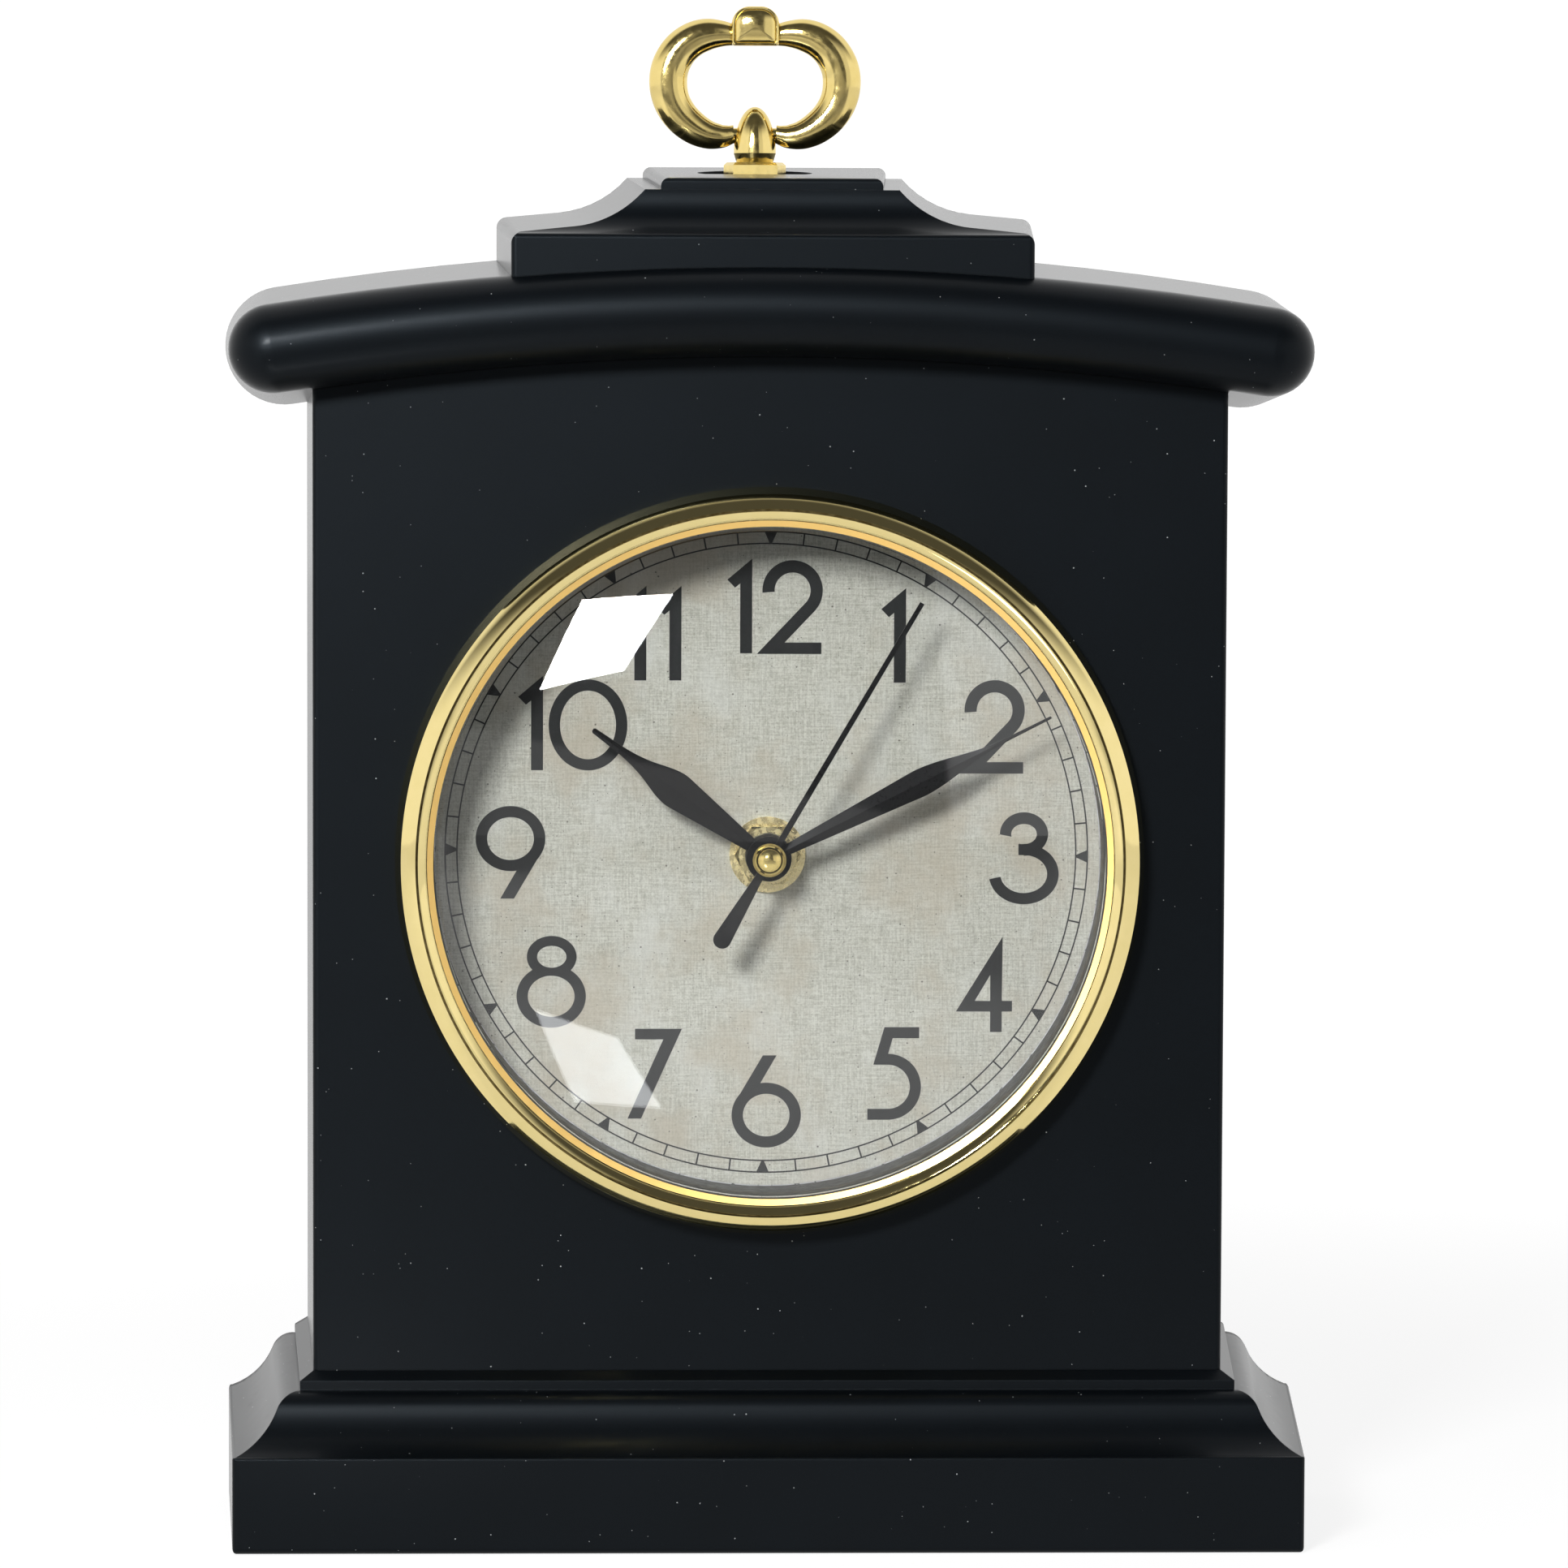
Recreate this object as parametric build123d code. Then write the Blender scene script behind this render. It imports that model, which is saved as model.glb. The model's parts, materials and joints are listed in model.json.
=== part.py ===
from build123d import *

import os
from math import asin, cos, degrees, hypot, radians, sin, sqrt, tan

# Bracket-style mantel clock with a loop handle and a quartz movement.
# Millimetres. +Z is up and the dial faces -Y. The origin is the centre of the underside.

# Fits
RUNNING_FIT = 0.05  # radial, between a shaft and its bore
SEAT_GAP = 0.02  # radial, pieces pushed or screwed together
SLIP_GAP = 0.2  # radial, loose pieces that are clamped

NUT_SIDES = 6

# Pull of the control points of a curve that draws a quarter of an ellipse
ELLIPSE_PULL = 4 * (sqrt(2) - 1) / 3

# Case
PLINTH_WIDTH = 184.0
PLINTH_HEIGHT = 16.7
CASE_DEPTH = 62.0
DRAFT_ANGLE = 3.1
WALL = 2.6
FRONT_WALL = 3.0
EDGE_ROUND = 0.9

# Base moulding, from the plinth up to the body
PLINTH_LEDGE = 0.5
PLINTH_ROUND = 0.4
FOOT_ROUND = 1.1
FOOT_TRIM = 0.05  # cut off under the rounded sides, so that the underside is one flat face
COVE_REACH = 6.9
COVE_RISE = 7.35
COVE_SAG = 1.05
SHOULDER_REACH = 3.8
SHOULDER_RISE = 2.65
SHOULDER_SAG = 0.75
FILLET_RISE = 1.6
CHAMFER_REACH = 2.2
CHAMFER_RISE = 1.5

# Body and cornice
BODY_HEIGHT = 175.2
CORNICE_THICKNESS = 15.3
CORNICE_RADIUS = 535.0
CORNICE_REACH = 14.15

# Pediment
PEDIMENT_WIDTH = 89.1
PEDIMENT_SETBACK = 5.0
BLOCK_RISE = 5.3
OGEE_FLAT = 11.0
OGEE_FLAT_RISE = 1.0
OGEE_RISE = 7.2
LEDGE_WIDTH = 2.8
PAD_WIDTH = 37.2
PAD_RISE = 1.9
FRONT_LEDGE = 0.9
FRONT_COVE = 6.0
PAD_SETBACK = 1.2
BLOCK_CORNER = 1.9
PAD_CORNER = 1.4
FRONT_ROUND = 0.8
PEG_RADIUS = 2.0
PEG_SPREAD = 30.0
PEG_Y = 8.0

# Handle
HANDLE_OFFSET = -2.4
HANDLE_Y = 4.0
FOOT_WIDTH = 10.0
FOOT_RISE = 2.1
FOOT_CHAMFER = 0.5
FOOT_SIDES = 8
NECK_RISE = 1.6
NECK_RADIUS = 3.2
KNUCKLE_RADIUS = 3.7
KNUCKLE_RISE = 8.05
PIVOT_HEIGHT = 7.1
PIVOT_RADIUS = 0.95
PIVOT_DEPTH = 1.9
PIVOT_END_GAP = 0.3
ARM_START_WIDTH = 4.5
ARM_END_WIDTH = 3.7
ARM_POINTS = ((8.4, 17.15), (12.4, 15.4), (14.9, 10.7), (14.35, 5.8), (11.6, 1.7), (7.5, -0.15))
ARM_WIDTHS = (6.0, 6.95, 7.0, 6.55, 6.1, 4.95)  # at those points
ARM_DEPTH_RATIO = 0.78
BEAD_WIDTH = 8.3
BEAD_BOTTOM = 15.15
BEAD_TOP = 22.0
BEAD_DEPTH = 6.6
BEAD_CROWN = 3.2
BEAD_ROUND = 0.8
STUB_OVERLAP = 0.8
STUD_RADIUS = 2.0
STUD_LENGTH = 9.0
STUD_NUT_FLATS = 7.0
STUD_NUT_THICKNESS = 3.2

# Dial unit
DIAL_RISE = 0.9  # of the dial's axis over the middle of the body
DIAL_SIDE_MARGIN = 20.8  # from the dial opening to the body's sides
DIAL_END_MARGIN = 28.9  # from the dial opening to the body's nearer end
DIAL_DEPTH = 14.15
BEZEL_PROUD = 8.5
BEZEL_FLANGE = 2.3
FLANK_SHARE = 0.45
FLANK_BULGE = 0.3
BAND_SLOPE = 1.1
BAND_WIDTH = 2.5
BAND_DROP = 0.5
BAND_FALL = 0.9
BAND_CROWN = 0.25
GROOVE_WIDTH = 0.45
GROOVE_DEPTH = 1.1
RING_WIDTH = 1.4
RING_STEP = 0.2
INNER_EDGE = 0.4
SKIRT_WALL = 1.8
SKIRT_END_GAP = 0.4
LIP_THICKNESS = 1.7
LENS_THICKNESS = 1.5
LENS_DOME = 9.0
LENS_EDGE = 0.3
GASKET_THICKNESS = 1.0
CUP_WALL = 2.3
CUP_FLANGE = 10.5
CUP_FLANGE_THICKNESS = 2.0
CUP_REAR_FLANGE = 5.7
CUP_SCREW_ANGLES = (45, 135, 225, 315)
PLATE_SCREW_ANGLES = (0, 90, 180, 270)
FLANGE_EDGE = 1.0
DIAL_PLATE_THICKNESS = 1.5
PAPER_THICKNESS = 0.15

# Hand fixing and hands
BUSHING_RADIUS = 3.95
BUSHING_PROUD = 5.4
WASHER_RADIUS = 6.6
WASHER_THICKNESS = 0.8
NUT_FLATS = 10.0
NUT_THICKNESS = 2.2
RUBBER_RADIUS = 9.0
RUBBER_THICKNESS = 0.8
SECOND_ARBOR_RADIUS = 0.7
MINUTE_TUBE_RADIUS = 1.55
HOUR_PIPE_RADIUS = 2.45
HAND_THICKNESS = 0.45
HUB_RADIUS = 3.9
TIP_PROUD = 0.2
HOUR_HAND_HEIGHT = 7.0
MINUTE_HAND_HEIGHT = 9.6
SECOND_HAND_HEIGHT = 12.2
HOUR_TIP_GAP = 20.5  # from the hand's tip to the edge of the dial opening
MINUTE_TIP_GAP = 3.5
SECOND_TIP_GAP = 6.4
LEAF_SHARES = (0, 0.5, 0.54, 0.59, 0.64, 0.7, 0.77, 0.85, 1)  # of the length, where the widths are
HOUR_HAND_WIDTHS = (1.5, 6.1, 6.25, 5.65, 4.55, 3.15, 2.05, 1.4, 0.95)
MINUTE_HAND_WIDTHS = (1.5, 4.55, 4.75, 4.35, 3.5, 2.25, 1.05, 0.6, 0.45)
SECOND_HAND_WIDTH = 1.1
SECOND_TIP_WIDTH = 0.82
TAIL_LENGTH = 17.5
TAIL_WIDTH = 0.95
TAIL_END_WIDTH = 3.1
COLLET_RADIUS = 1.5
COLLET_LENGTH = 1.5
CAP_RADIUS = 2.6
CAP_FLANGE_RADIUS = 2.9
CAP_FLANGE = 0.4
CAP_RISE = 2.0
HOUR_ANGLE = 306.0
MINUTE_ANGLE = 63.2
SECOND_ANGLE = 30.5

# Movement
MOVEMENT_SIZE = 56.0
MOVEMENT_THICKNESS = 16.0
MOVEMENT_SPLIT = 8.5
MOVEMENT_CORNER = 4.0
MOVEMENT_WALL = 1.5
PIVOT_BORE_DEPTH = 1.0
ARBOR_END_GAP = 0.1
ARBOR_RADIUS = 0.6
BATTERY_RADIUS = 7.1
BATTERY_LENGTH = 49.2
BATTERY_NUB_RADIUS = 2.75
BATTERY_NUB_LENGTH = 1.3
BATTERY_GAP = 0.35
CONTACT_THICKNESS = 0.7
CONTACT_WIDTH = 8.0

# Gear train: tooth counts, modules and where each arbor stands round the one that drives it
WHEEL_THICKNESS = 0.9
LAYER_GAP = 0.8
FINE_MODULE = 0.3
THIRD_MODULE = 0.25
SECOND_MODULE = 0.31
ROTOR_PINION_TEETH = 10
INTERMEDIATE_WHEEL_TEETH = 50
INTERMEDIATE_PINION_TEETH = 10
SECOND_WHEEL_TEETH = 60
SECOND_PINION_TEETH = 10
THIRD_WHEEL_TEETH = 75
THIRD_PINION_TEETH = 10
CENTRE_WHEEL_TEETH = 80
CANNON_PINION_TEETH = 15
MOTION_WHEEL_TEETH = 45
MOTION_PINION_TEETH = 12
HOUR_WHEEL_TEETH = 48
SETTING_PINION_TEETH = 15
THIRD_DIRECTION = 150.0
INTERMEDIATE_DIRECTION = 60.0
ROTOR_DIRECTION = 20.0
MOTION_DIRECTION = -15.0
SETTING_DIRECTION = -10.0
TOOTH_ADDENDUM = 0.85
TOOTH_DEDENDUM = 1.2
TOOTH_TIP_SHARE = 0.2
TOOTH_ROOT_SHARE = 0.5

# Motor, board and setting knob
MAGNET_RADIUS = 3.0
MAGNET_LENGTH = 2.4
MAGNET_GAP = 0.4
STATOR_THICKNESS = 1.0
STATOR_SIDE = 9.2
STATOR_LEG = 3.0
COIL_RADIUS = 3.4
COIL_LENGTH = 17.0
CORE_HEIGHT = 1.8
POST_RADIUS = 1.2
MOTION_POST_RADIUS = 0.9
BOARD_LENGTH = 22.0
BOARD_HEIGHT = 5.4
BOARD_THICKNESS = 0.8
BOARD_STANDOFF = 1.5
BOARD_POST_SHARE = 0.33  # of the board's length, from its middle to a post
CRYSTAL_RADIUS = 1.0
CRYSTAL_LENGTH = 6.0
SETTING_STEM_RADIUS = 1.2
KNOB_TEETH = 24
KNOB_MODULE = 0.5
KNOB_GAP = 0.3
KNOB_THICKNESS = 4.0

# Back cover and screws
COVER_THICKNESS = 2.4
WINDOW_SIZE = 68.0
BOSS_RADIUS = 3.6
BOSS_SINK = 1.0
BOSS_END = 2.0
JOIN_SCREW_SHARE = 0.75
BASE_SCREW_FRONT = 14.0
BASE_SCREW_BACK = 12.0
CORNICE_SCREW_SHARE = 0.6
CORNICE_SCREW_FRONT = 26.0
CORNICE_SEAT_DROP = 16.0
COVER_SCREW_INSET = 8.0
LOW_COVER_SCREW = 14.0
HIGH_COVER_SCREW = 22.0
SCREW_RADIUS = 1.3
SCREW_HEAD_RADIUS = 2.6
SCREW_HEAD_HEIGHT = 1.6
COVER_SCREW_LENGTH = 9.0
JOIN_SCREW_LENGTH = 12.0
SMALL_SCREW_RADIUS = 1.0
SMALL_HEAD_RADIUS = 2.0
SMALL_HEAD_HEIGHT = 1.2
CUP_SCREW_BITE = 2.2

# Levels and places that follow from the sizes above
DRAFT = tan(radians(DRAFT_ANGLE))
plinth_half = PLINTH_WIDTH / 2
case_front = -CASE_DEPTH / 2
case_back = CASE_DEPTH / 2
shell_back = case_back - COVER_THICKNESS
moulding_reach = PLINTH_LEDGE + COVE_REACH + SHOULDER_REACH + CHAMFER_REACH
cove_top = PLINTH_HEIGHT + COVE_RISE
base_top = cove_top + SHOULDER_RISE + FILLET_RISE + CHAMFER_RISE
body_half = plinth_half - moulding_reach
body_front = case_front + moulding_reach
wall_inside = body_front + FRONT_WALL
nose_y = case_front + CORNICE_THICKNESS / 2


def cornice_half(y):
    """Half the cornice's thickness at depth y."""
    return CORNICE_THICKNESS / 2 + DRAFT * (y - nose_y)


arch_centre = base_top + BODY_HEIGHT + cornice_half(body_front) - CORNICE_RADIUS
cornice_end = body_half + CORNICE_REACH - CORNICE_THICKNESS / 2
end_angle = asin(cornice_end / CORNICE_RADIUS)
crown = arch_centre + CORNICE_RADIUS + CORNICE_THICKNESS / 2

pediment_front = case_front + PEDIMENT_SETBACK
pediment_half = PEDIMENT_WIDTH / 2
block_top = crown + BLOCK_RISE
ledge_level = block_top + OGEE_RISE
pad_top = ledge_level + PAD_RISE
pad_half = PAD_WIDTH / 2
cove_front = pediment_front + FRONT_LEDGE
cove_back = cove_front + FRONT_COVE
pad_front = cove_back + PAD_SETBACK
foot_level = pad_top + DRAFT * (HANDLE_Y - FOOT_WIDTH / 2 - pediment_front)
pivot_level = foot_level + PIVOT_HEIGHT
arm_end = KNUCKLE_RADIUS + PIVOT_END_GAP

dial_height = base_top + BODY_HEIGHT / 2 + DIAL_RISE
dial_opening = min(body_half - DIAL_SIDE_MARGIN, BODY_HEIGHT / 2 - abs(DIAL_RISE) - DIAL_END_MARGIN)
hour_hand_length = dial_opening - HOUR_TIP_GAP
minute_hand_length = dial_opening - MINUTE_TIP_GAP
second_hand_length = dial_opening - SECOND_TIP_GAP

cup_bore = dial_opening + SLIP_GAP
cup_outer = cup_bore + CUP_WALL
skirt_inner = cup_outer + RUNNING_FIT
skirt_outer = skirt_inner + SKIRT_WALL
dial_hole = skirt_outer + SLIP_GAP
bezel_outer = skirt_outer + BEZEL_FLANGE
lens_rim = skirt_inner - SLIP_GAP
bezel_front = body_front - BEZEL_PROUD
lens_front = bezel_front + LIP_THICKNESS
lens_back = lens_front + LENS_THICKNESS
cup_front = lens_back + GASKET_THICKNESS
cup_back = body_front + DIAL_DEPTH
dial_front = cup_back - PAPER_THICKNESS
plate_back = cup_back + DIAL_PLATE_THICKNESS
plate_radius = cup_outer + CUP_REAR_FLANGE
movement_front = plate_back + RUBBER_THICKNESS
movement_back = movement_front + MOVEMENT_THICKNESS
movement_half = MOVEMENT_SIZE / 2
split_y = movement_front + MOVEMENT_SPLIT
hour_bore = MINUTE_TUBE_RADIUS + RUNNING_FIT
minute_bore = SECOND_ARBOR_RADIUS + RUNNING_FIT
bushing_bore = HOUR_PIPE_RADIUS + RUNNING_FIT
bushing_tip = dial_front - BUSHING_PROUD

# Gear layers, each by the depth of its front behind the movement's front face
layer_pitch = WHEEL_THICKNESS + LAYER_GAP
hour_layer = MOVEMENT_WALL + LAYER_GAP
motion_layer = hour_layer + layer_pitch
centre_layer = motion_layer + layer_pitch
third_layer = centre_layer + layer_pitch
second_layer = third_layer + layer_pitch
rotor_layer = second_layer + layer_pitch

# Battery bay and gear room inside the movement
bay_floor = movement_front + MOVEMENT_WALL
bay_half_height = BATTERY_RADIUS + BATTERY_GAP
bay_centre = -movement_half + MOVEMENT_WALL + bay_half_height
battery_span = BATTERY_LENGTH + BATTERY_NUB_LENGTH
bay_half_length = battery_span / 2 + BATTERY_GAP + CONTACT_THICKNESS
bay_top = bay_centre + bay_half_height
room_bottom = bay_top + MOVEMENT_WALL
room_half = movement_half - MOVEMENT_WALL
room_front = movement_front + MOVEMENT_WALL
room_back = movement_back - MOVEMENT_WALL
battery_y = bay_floor + BATTERY_GAP + BATTERY_RADIUS


def front_plane(y):
    """Upright plane at depth y: its x is X, its y is Z and it faces the front."""
    return Plane(origin=(0, y, 0), x_dir=(1, 0, 0), z_dir=(0, -1, 0))


def slab(face, front, back):
    """A face drawn in X and Z, made solid between two depths."""
    return extrude(front_plane(back) * face, amount=back - front)


def rod(radius, front, back, x=0, z=0):
    """A round bar along Y."""
    return slab(Pos(x, z) * Circle(radius), front, back)


def upright(radius, bottom, top, x, y):
    """A round bar along Z."""
    return extrude(Pos(x, y, bottom) * Circle(radius), amount=top - bottom)


def block(width, height, front, back, x=0, z=0):
    """A bar of rectangular section along Y."""
    return slab(Pos(x, z) * Rectangle(width, height), front, back)


def turned(points, x=0, z=0):
    """A closed (radius, y) outline turned about an axis along Y."""
    return Pos(x, 0, z) * revolve(make_face(Polyline(*points, close=True)), Axis.Y)


def drafted_room(half_width, bottom, top, front, back):
    """A hollow that opens out towards the back like the walls round it."""
    ends = []
    for y in (front, back):
        spread = DRAFT * (y - front)
        height = top + spread - bottom
        face = Pos(0, bottom + height / 2) * Rectangle(2 * (half_width + spread), height)
        ends.append(front_plane(y) * face)
    return loft(ends, ruled=True)


def plan_block(half_width, front, top):
    """An upright block that widens with the draft and has rounded front corners."""
    half_back = half_width + DRAFT * (shell_back - front)
    corners = ((-half_width, front), (half_width, front), (half_back, shell_back), (-half_back, shell_back))
    face = make_face(Polyline(*corners, close=True))
    return extrude(rounded(face, (half_width, front), EDGE_ROUND), amount=top)


def mirrored_face(half_edges):
    """A face closed by the mirror image of its right half."""
    right = Curve() + half_edges
    return make_face(right + mirror(right, about=Plane.YZ))


def rounded(face, corner, radius):
    """The face with a corner rounded, and the corner opposite it in X if there is one."""
    at_corner = [v for v in face.vertices() if hypot(abs(v.X) - abs(corner[0]), v.Y - corner[1]) < SEAT_GAP]
    return fillet(at_corner, radius)


def dome_edge(radius, base, rise):
    """Quarter of an ellipse from the rim at (radius, base) to the axis."""
    return Bezier(
        (radius, base),
        (radius, base + ELLIPSE_PULL * rise),
        (ELLIPSE_PULL * radius, base + rise),
        (0, base + rise),
    )


def screw_y(x, z, head_front, length, radius, head_radius, head_height, facing=1):
    """A screw along Y whose head starts at head_front; facing 1 points its tip to the front."""
    head_back = head_front + facing * head_height
    tip = head_front - facing * length
    head = rod(head_radius, min(head_front, head_back), max(head_front, head_back), x, z)
    return head + rod(radius, min(head_front, tip), max(head_front, tip), x, z)


def screw_up(x, y, seat, length):
    """A screw that points up, with its head below the seat."""
    head = upright(SCREW_HEAD_RADIUS, seat - SCREW_HEAD_HEIGHT, seat, x, y)
    return head + upright(SCREW_RADIUS, seat, seat + length, x, y)


# Case shells

MOULDING = (
    (0, PLINTH_HEIGHT),
    (PLINTH_LEDGE, PLINTH_HEIGHT),
    (PLINTH_LEDGE + COVE_REACH, cove_top),
    (PLINTH_LEDGE + COVE_REACH + SHOULDER_REACH, cove_top + SHOULDER_RISE),
    (PLINTH_LEDGE + COVE_REACH + SHOULDER_REACH, cove_top + SHOULDER_RISE + FILLET_RISE),
    (moulding_reach, base_top),
)


def bowed_middle(start, end, sag):
    """Middle of an arc that sags by so much to the right of its chord."""
    reach, rise = end[0] - start[0], end[1] - start[1]
    chord = hypot(reach, rise)
    return ((start[0] + end[0]) / 2 + sag * rise / chord, (start[1] + end[1]) / 2 - sag * reach / chord)


def moulding_edges(place, foot):
    """The moulding's edges, from the foot up, with each (inset, height) put through place."""
    corners = [place(*corner) for corner in MOULDING]
    bevel = PLINTH_ROUND * (1 - sqrt(0.5))
    round_start = place(0, PLINTH_HEIGHT - PLINTH_ROUND)
    round_end = place(PLINTH_ROUND, PLINTH_HEIGHT)
    return [
        Line(foot, round_start),
        ThreePointArc(round_start, place(bevel, PLINTH_HEIGHT - bevel), round_end),
        Line(round_end, corners[1]),
        ThreePointArc(corners[1], place(*bowed_middle(MOULDING[1], MOULDING[2], COVE_SAG)), corners[2]),
        ThreePointArc(corners[2], place(*bowed_middle(MOULDING[2], MOULDING[3], -SHOULDER_SAG)), corners[3]),
        Line(corners[3], corners[4]),
        Line(corners[4], corners[5]),
    ]


def base_section(y, underside=0):
    """The base seen from the front at depth y, grown by the draft behind its mitred front."""
    def place(inset, height):
        spread = DRAFT * (y - case_front - inset)
        return (plinth_half - inset + spread, height + spread)

    foot = (plinth_half + DRAFT * (y - case_front), underside)
    top = place(*MOULDING[-1])
    edges = moulding_edges(place, foot)
    closing = [Line((0, underside), foot), Line(top, (0, top[1]))]
    return front_plane(y) * rounded(mirrored_face(edges + closing), foot, FOOT_ROUND)


def base_solid():
    sides = loft([base_section(y, -FOOT_TRIM) for y in (case_front, shell_back)], ruled=True)
    back_top = base_top + DRAFT * (shell_back - body_front)

    def place(inset, height):
        return (case_front + inset, height)

    edges = moulding_edges(place, (case_front, 0))
    edges += [
        Line(place(*MOULDING[-1]), (shell_back, back_top)),
        Line((shell_back, back_top), (shell_back, 0)),
        Line((shell_back, 0), (case_front, 0)),
    ]
    profile = rounded(make_face(edges), (case_front, 0), FOOT_ROUND)
    front = extrude(Plane.YZ * profile, amount=PLINTH_WIDTH, both=True)
    return sides & front & plan_block(plinth_half, case_front, base_top + CASE_DEPTH)


base_screw_rows = (body_front + BASE_SCREW_FRONT, shell_back - BASE_SCREW_BACK)
base_screw_spots = [(side * JOIN_SCREW_SHARE * body_half, y) for side in (-1, 1) for y in base_screw_rows]
base_seat = base_top - WALL
base_cover_z = WALL + BOSS_RADIUS - BOSS_SINK
base_cover_spots = [(side * (plinth_half - COVER_SCREW_INSET), base_cover_z) for side in (-1, 1)]


def make_base():
    """Plinth and moulding, hollow and open at the back."""
    plinth_room = drafted_room(plinth_half - WALL, WALL, PLINTH_HEIGHT - WALL, case_front + WALL, case_back)
    collar_room = block(2 * (body_half - WALL), base_seat - WALL, body_front + WALL, case_back,
                        z=(base_seat + WALL) / 2)
    shell = base_solid() - plinth_room - collar_room
    for x, z in base_cover_spots:
        shell += rod(BOSS_RADIUS, case_front + WALL / 2, shell_back, x, z)
        shell -= rod(SCREW_RADIUS + SEAT_GAP, shell_back - COVER_SCREW_LENGTH, shell_back, x, z)
    for x, y in base_screw_spots:
        shell -= upright(SCREW_RADIUS + SEAT_GAP, base_seat - WALL, base_top + CASE_DEPTH, x, y)
    return shell


def body_section(y, inset):
    """The body seen from the front at depth y, drawn in by inset on every side."""
    spread = DRAFT * (y - body_front)
    half = body_half + spread - inset
    bottom = base_top + spread + inset
    radius = CORNICE_RADIUS - cornice_half(y) - inset
    corner = arch_centre + sqrt(radius**2 - half**2)
    edges = [
        Line((-half, bottom), (half, bottom)),
        Line((half, bottom), (half, corner)),
        ThreePointArc((half, corner), (0, arch_centre + radius), (-half, corner)),
        Line((-half, corner), (-half, bottom)),
    ]
    return front_plane(y) * make_face(edges)


body_boss_x = body_half - WALL - BOSS_RADIUS + BOSS_SINK
body_boss_levels = (base_top + LOW_COVER_SCREW, base_top + BODY_HEIGHT - HIGH_COVER_SCREW)
body_cover_spots = [(side * body_boss_x, z) for side in (-1, 1) for z in body_boss_levels]
cornice_screw_y = body_front + CORNICE_SCREW_FRONT
cornice_screw_spots = [(side * CORNICE_SCREW_SHARE * body_half, cornice_screw_y) for side in (-1, 1)]
cornice_seat = base_top + BODY_HEIGHT - CORNICE_SEAT_DROP
cup_screw_radius = cup_outer + CUP_FLANGE - SMALL_HEAD_RADIUS - FLANGE_EDGE
cup_screw_spots = [
    (cup_screw_radius * cos(radians(angle)), dial_height + cup_screw_radius * sin(radians(angle)))
    for angle in CUP_SCREW_ANGLES
]


def make_body():
    """Upright box, open at the back, with the round hole for the dial."""
    outer = loft([body_section(body_front, 0), body_section(shell_back, 0)], ruled=True)
    inner = loft([body_section(wall_inside, WALL), body_section(case_back, WALL)], ruled=True)
    front_edges = outer.edges().filter_by(Axis.Z).group_by(Axis.Y)[0]
    shell = fillet(front_edges, EDGE_ROUND) - inner
    for x, z in body_cover_spots:
        shell += rod(BOSS_RADIUS, wall_inside - BOSS_SINK, shell_back, x, z)
        shell -= rod(SCREW_RADIUS + SEAT_GAP, shell_back - COVER_SCREW_LENGTH, shell_back, x, z)
    for x, y in base_screw_spots:
        boss_bottom = base_top + DRAFT * (y - body_front + BOSS_RADIUS) + WALL / 2
        shell += upright(BOSS_RADIUS, boss_bottom, base_seat + JOIN_SCREW_LENGTH + BOSS_END, x, y)
        shell -= upright(SCREW_RADIUS + SEAT_GAP, base_seat, base_seat + JOIN_SCREW_LENGTH, x, y)
    for x, y in cornice_screw_spots:
        radius = CORNICE_RADIUS - cornice_half(y) - WALL / 2
        boss_top = arch_centre + sqrt(radius**2 - (abs(x) + BOSS_RADIUS) ** 2) - BOSS_RADIUS * DRAFT
        shell += upright(BOSS_RADIUS, cornice_seat, boss_top, x, y)
        shell -= upright(SCREW_RADIUS + SEAT_GAP, cornice_seat, crown, x, y)
    shell -= rod(dial_hole, body_front, wall_inside, z=dial_height)
    for x, z in cup_screw_spots:
        shell -= rod(SMALL_SCREW_RADIUS + SEAT_GAP, wall_inside - CUP_SCREW_BITE, wall_inside, x, z)
    return shell


def cornice_section(y, inset):
    """The arched bar with round ends at depth y, drawn in by inset."""
    half = cornice_half(y) - inset
    top = CORNICE_RADIUS + half
    bottom = CORNICE_RADIUS - half
    side, rise = sin(end_angle), cos(end_angle)
    tip = (cornice_end + half * rise, arch_centre + CORNICE_RADIUS * rise - half * side)
    top_end = (top * side, arch_centre + top * rise)
    bottom_end = (bottom * side, arch_centre + bottom * rise)
    top_middle = (top * sin(end_angle / 2), arch_centre + top * cos(end_angle / 2))
    bottom_middle = (bottom * sin(end_angle / 2), arch_centre + bottom * cos(end_angle / 2))
    half_edges = [
        ThreePointArc((0, arch_centre + top), top_middle, top_end),
        ThreePointArc(top_end, tip, bottom_end),
        ThreePointArc(bottom_end, bottom_middle, (0, arch_centre + bottom)),
    ]
    return front_plane(y) * mirrored_face(half_edges)


def cornice_solid():
    """The drafted bar with its half-round nose and quarter-ball ends."""
    bar = loft([cornice_section(nose_y, 0), cornice_section(shell_back, 0)], ruled=True)
    half = CORNICE_THICKNESS / 2
    level = arch_centre + CORNICE_RADIUS
    half_disc = Plane.YZ * make_face([
        ThreePointArc((nose_y, level + half), (nose_y - half, level), (nose_y, level - half)),
        Line((nose_y, level - half), (nose_y, level + half)),
    ])
    arch_axis = Axis((0, 0, arch_centre), (0, 1, 0))
    nose = revolve(half_disc, arch_axis, 2 * degrees(end_angle)).rotate(arch_axis, -degrees(end_angle))
    ball = revolve(half_disc, Axis((0, nose_y, level), (0, 0, 1)), 90).rotate(arch_axis, degrees(end_angle))
    return bar + nose + ball + mirror(ball, about=Plane.YZ)


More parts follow.
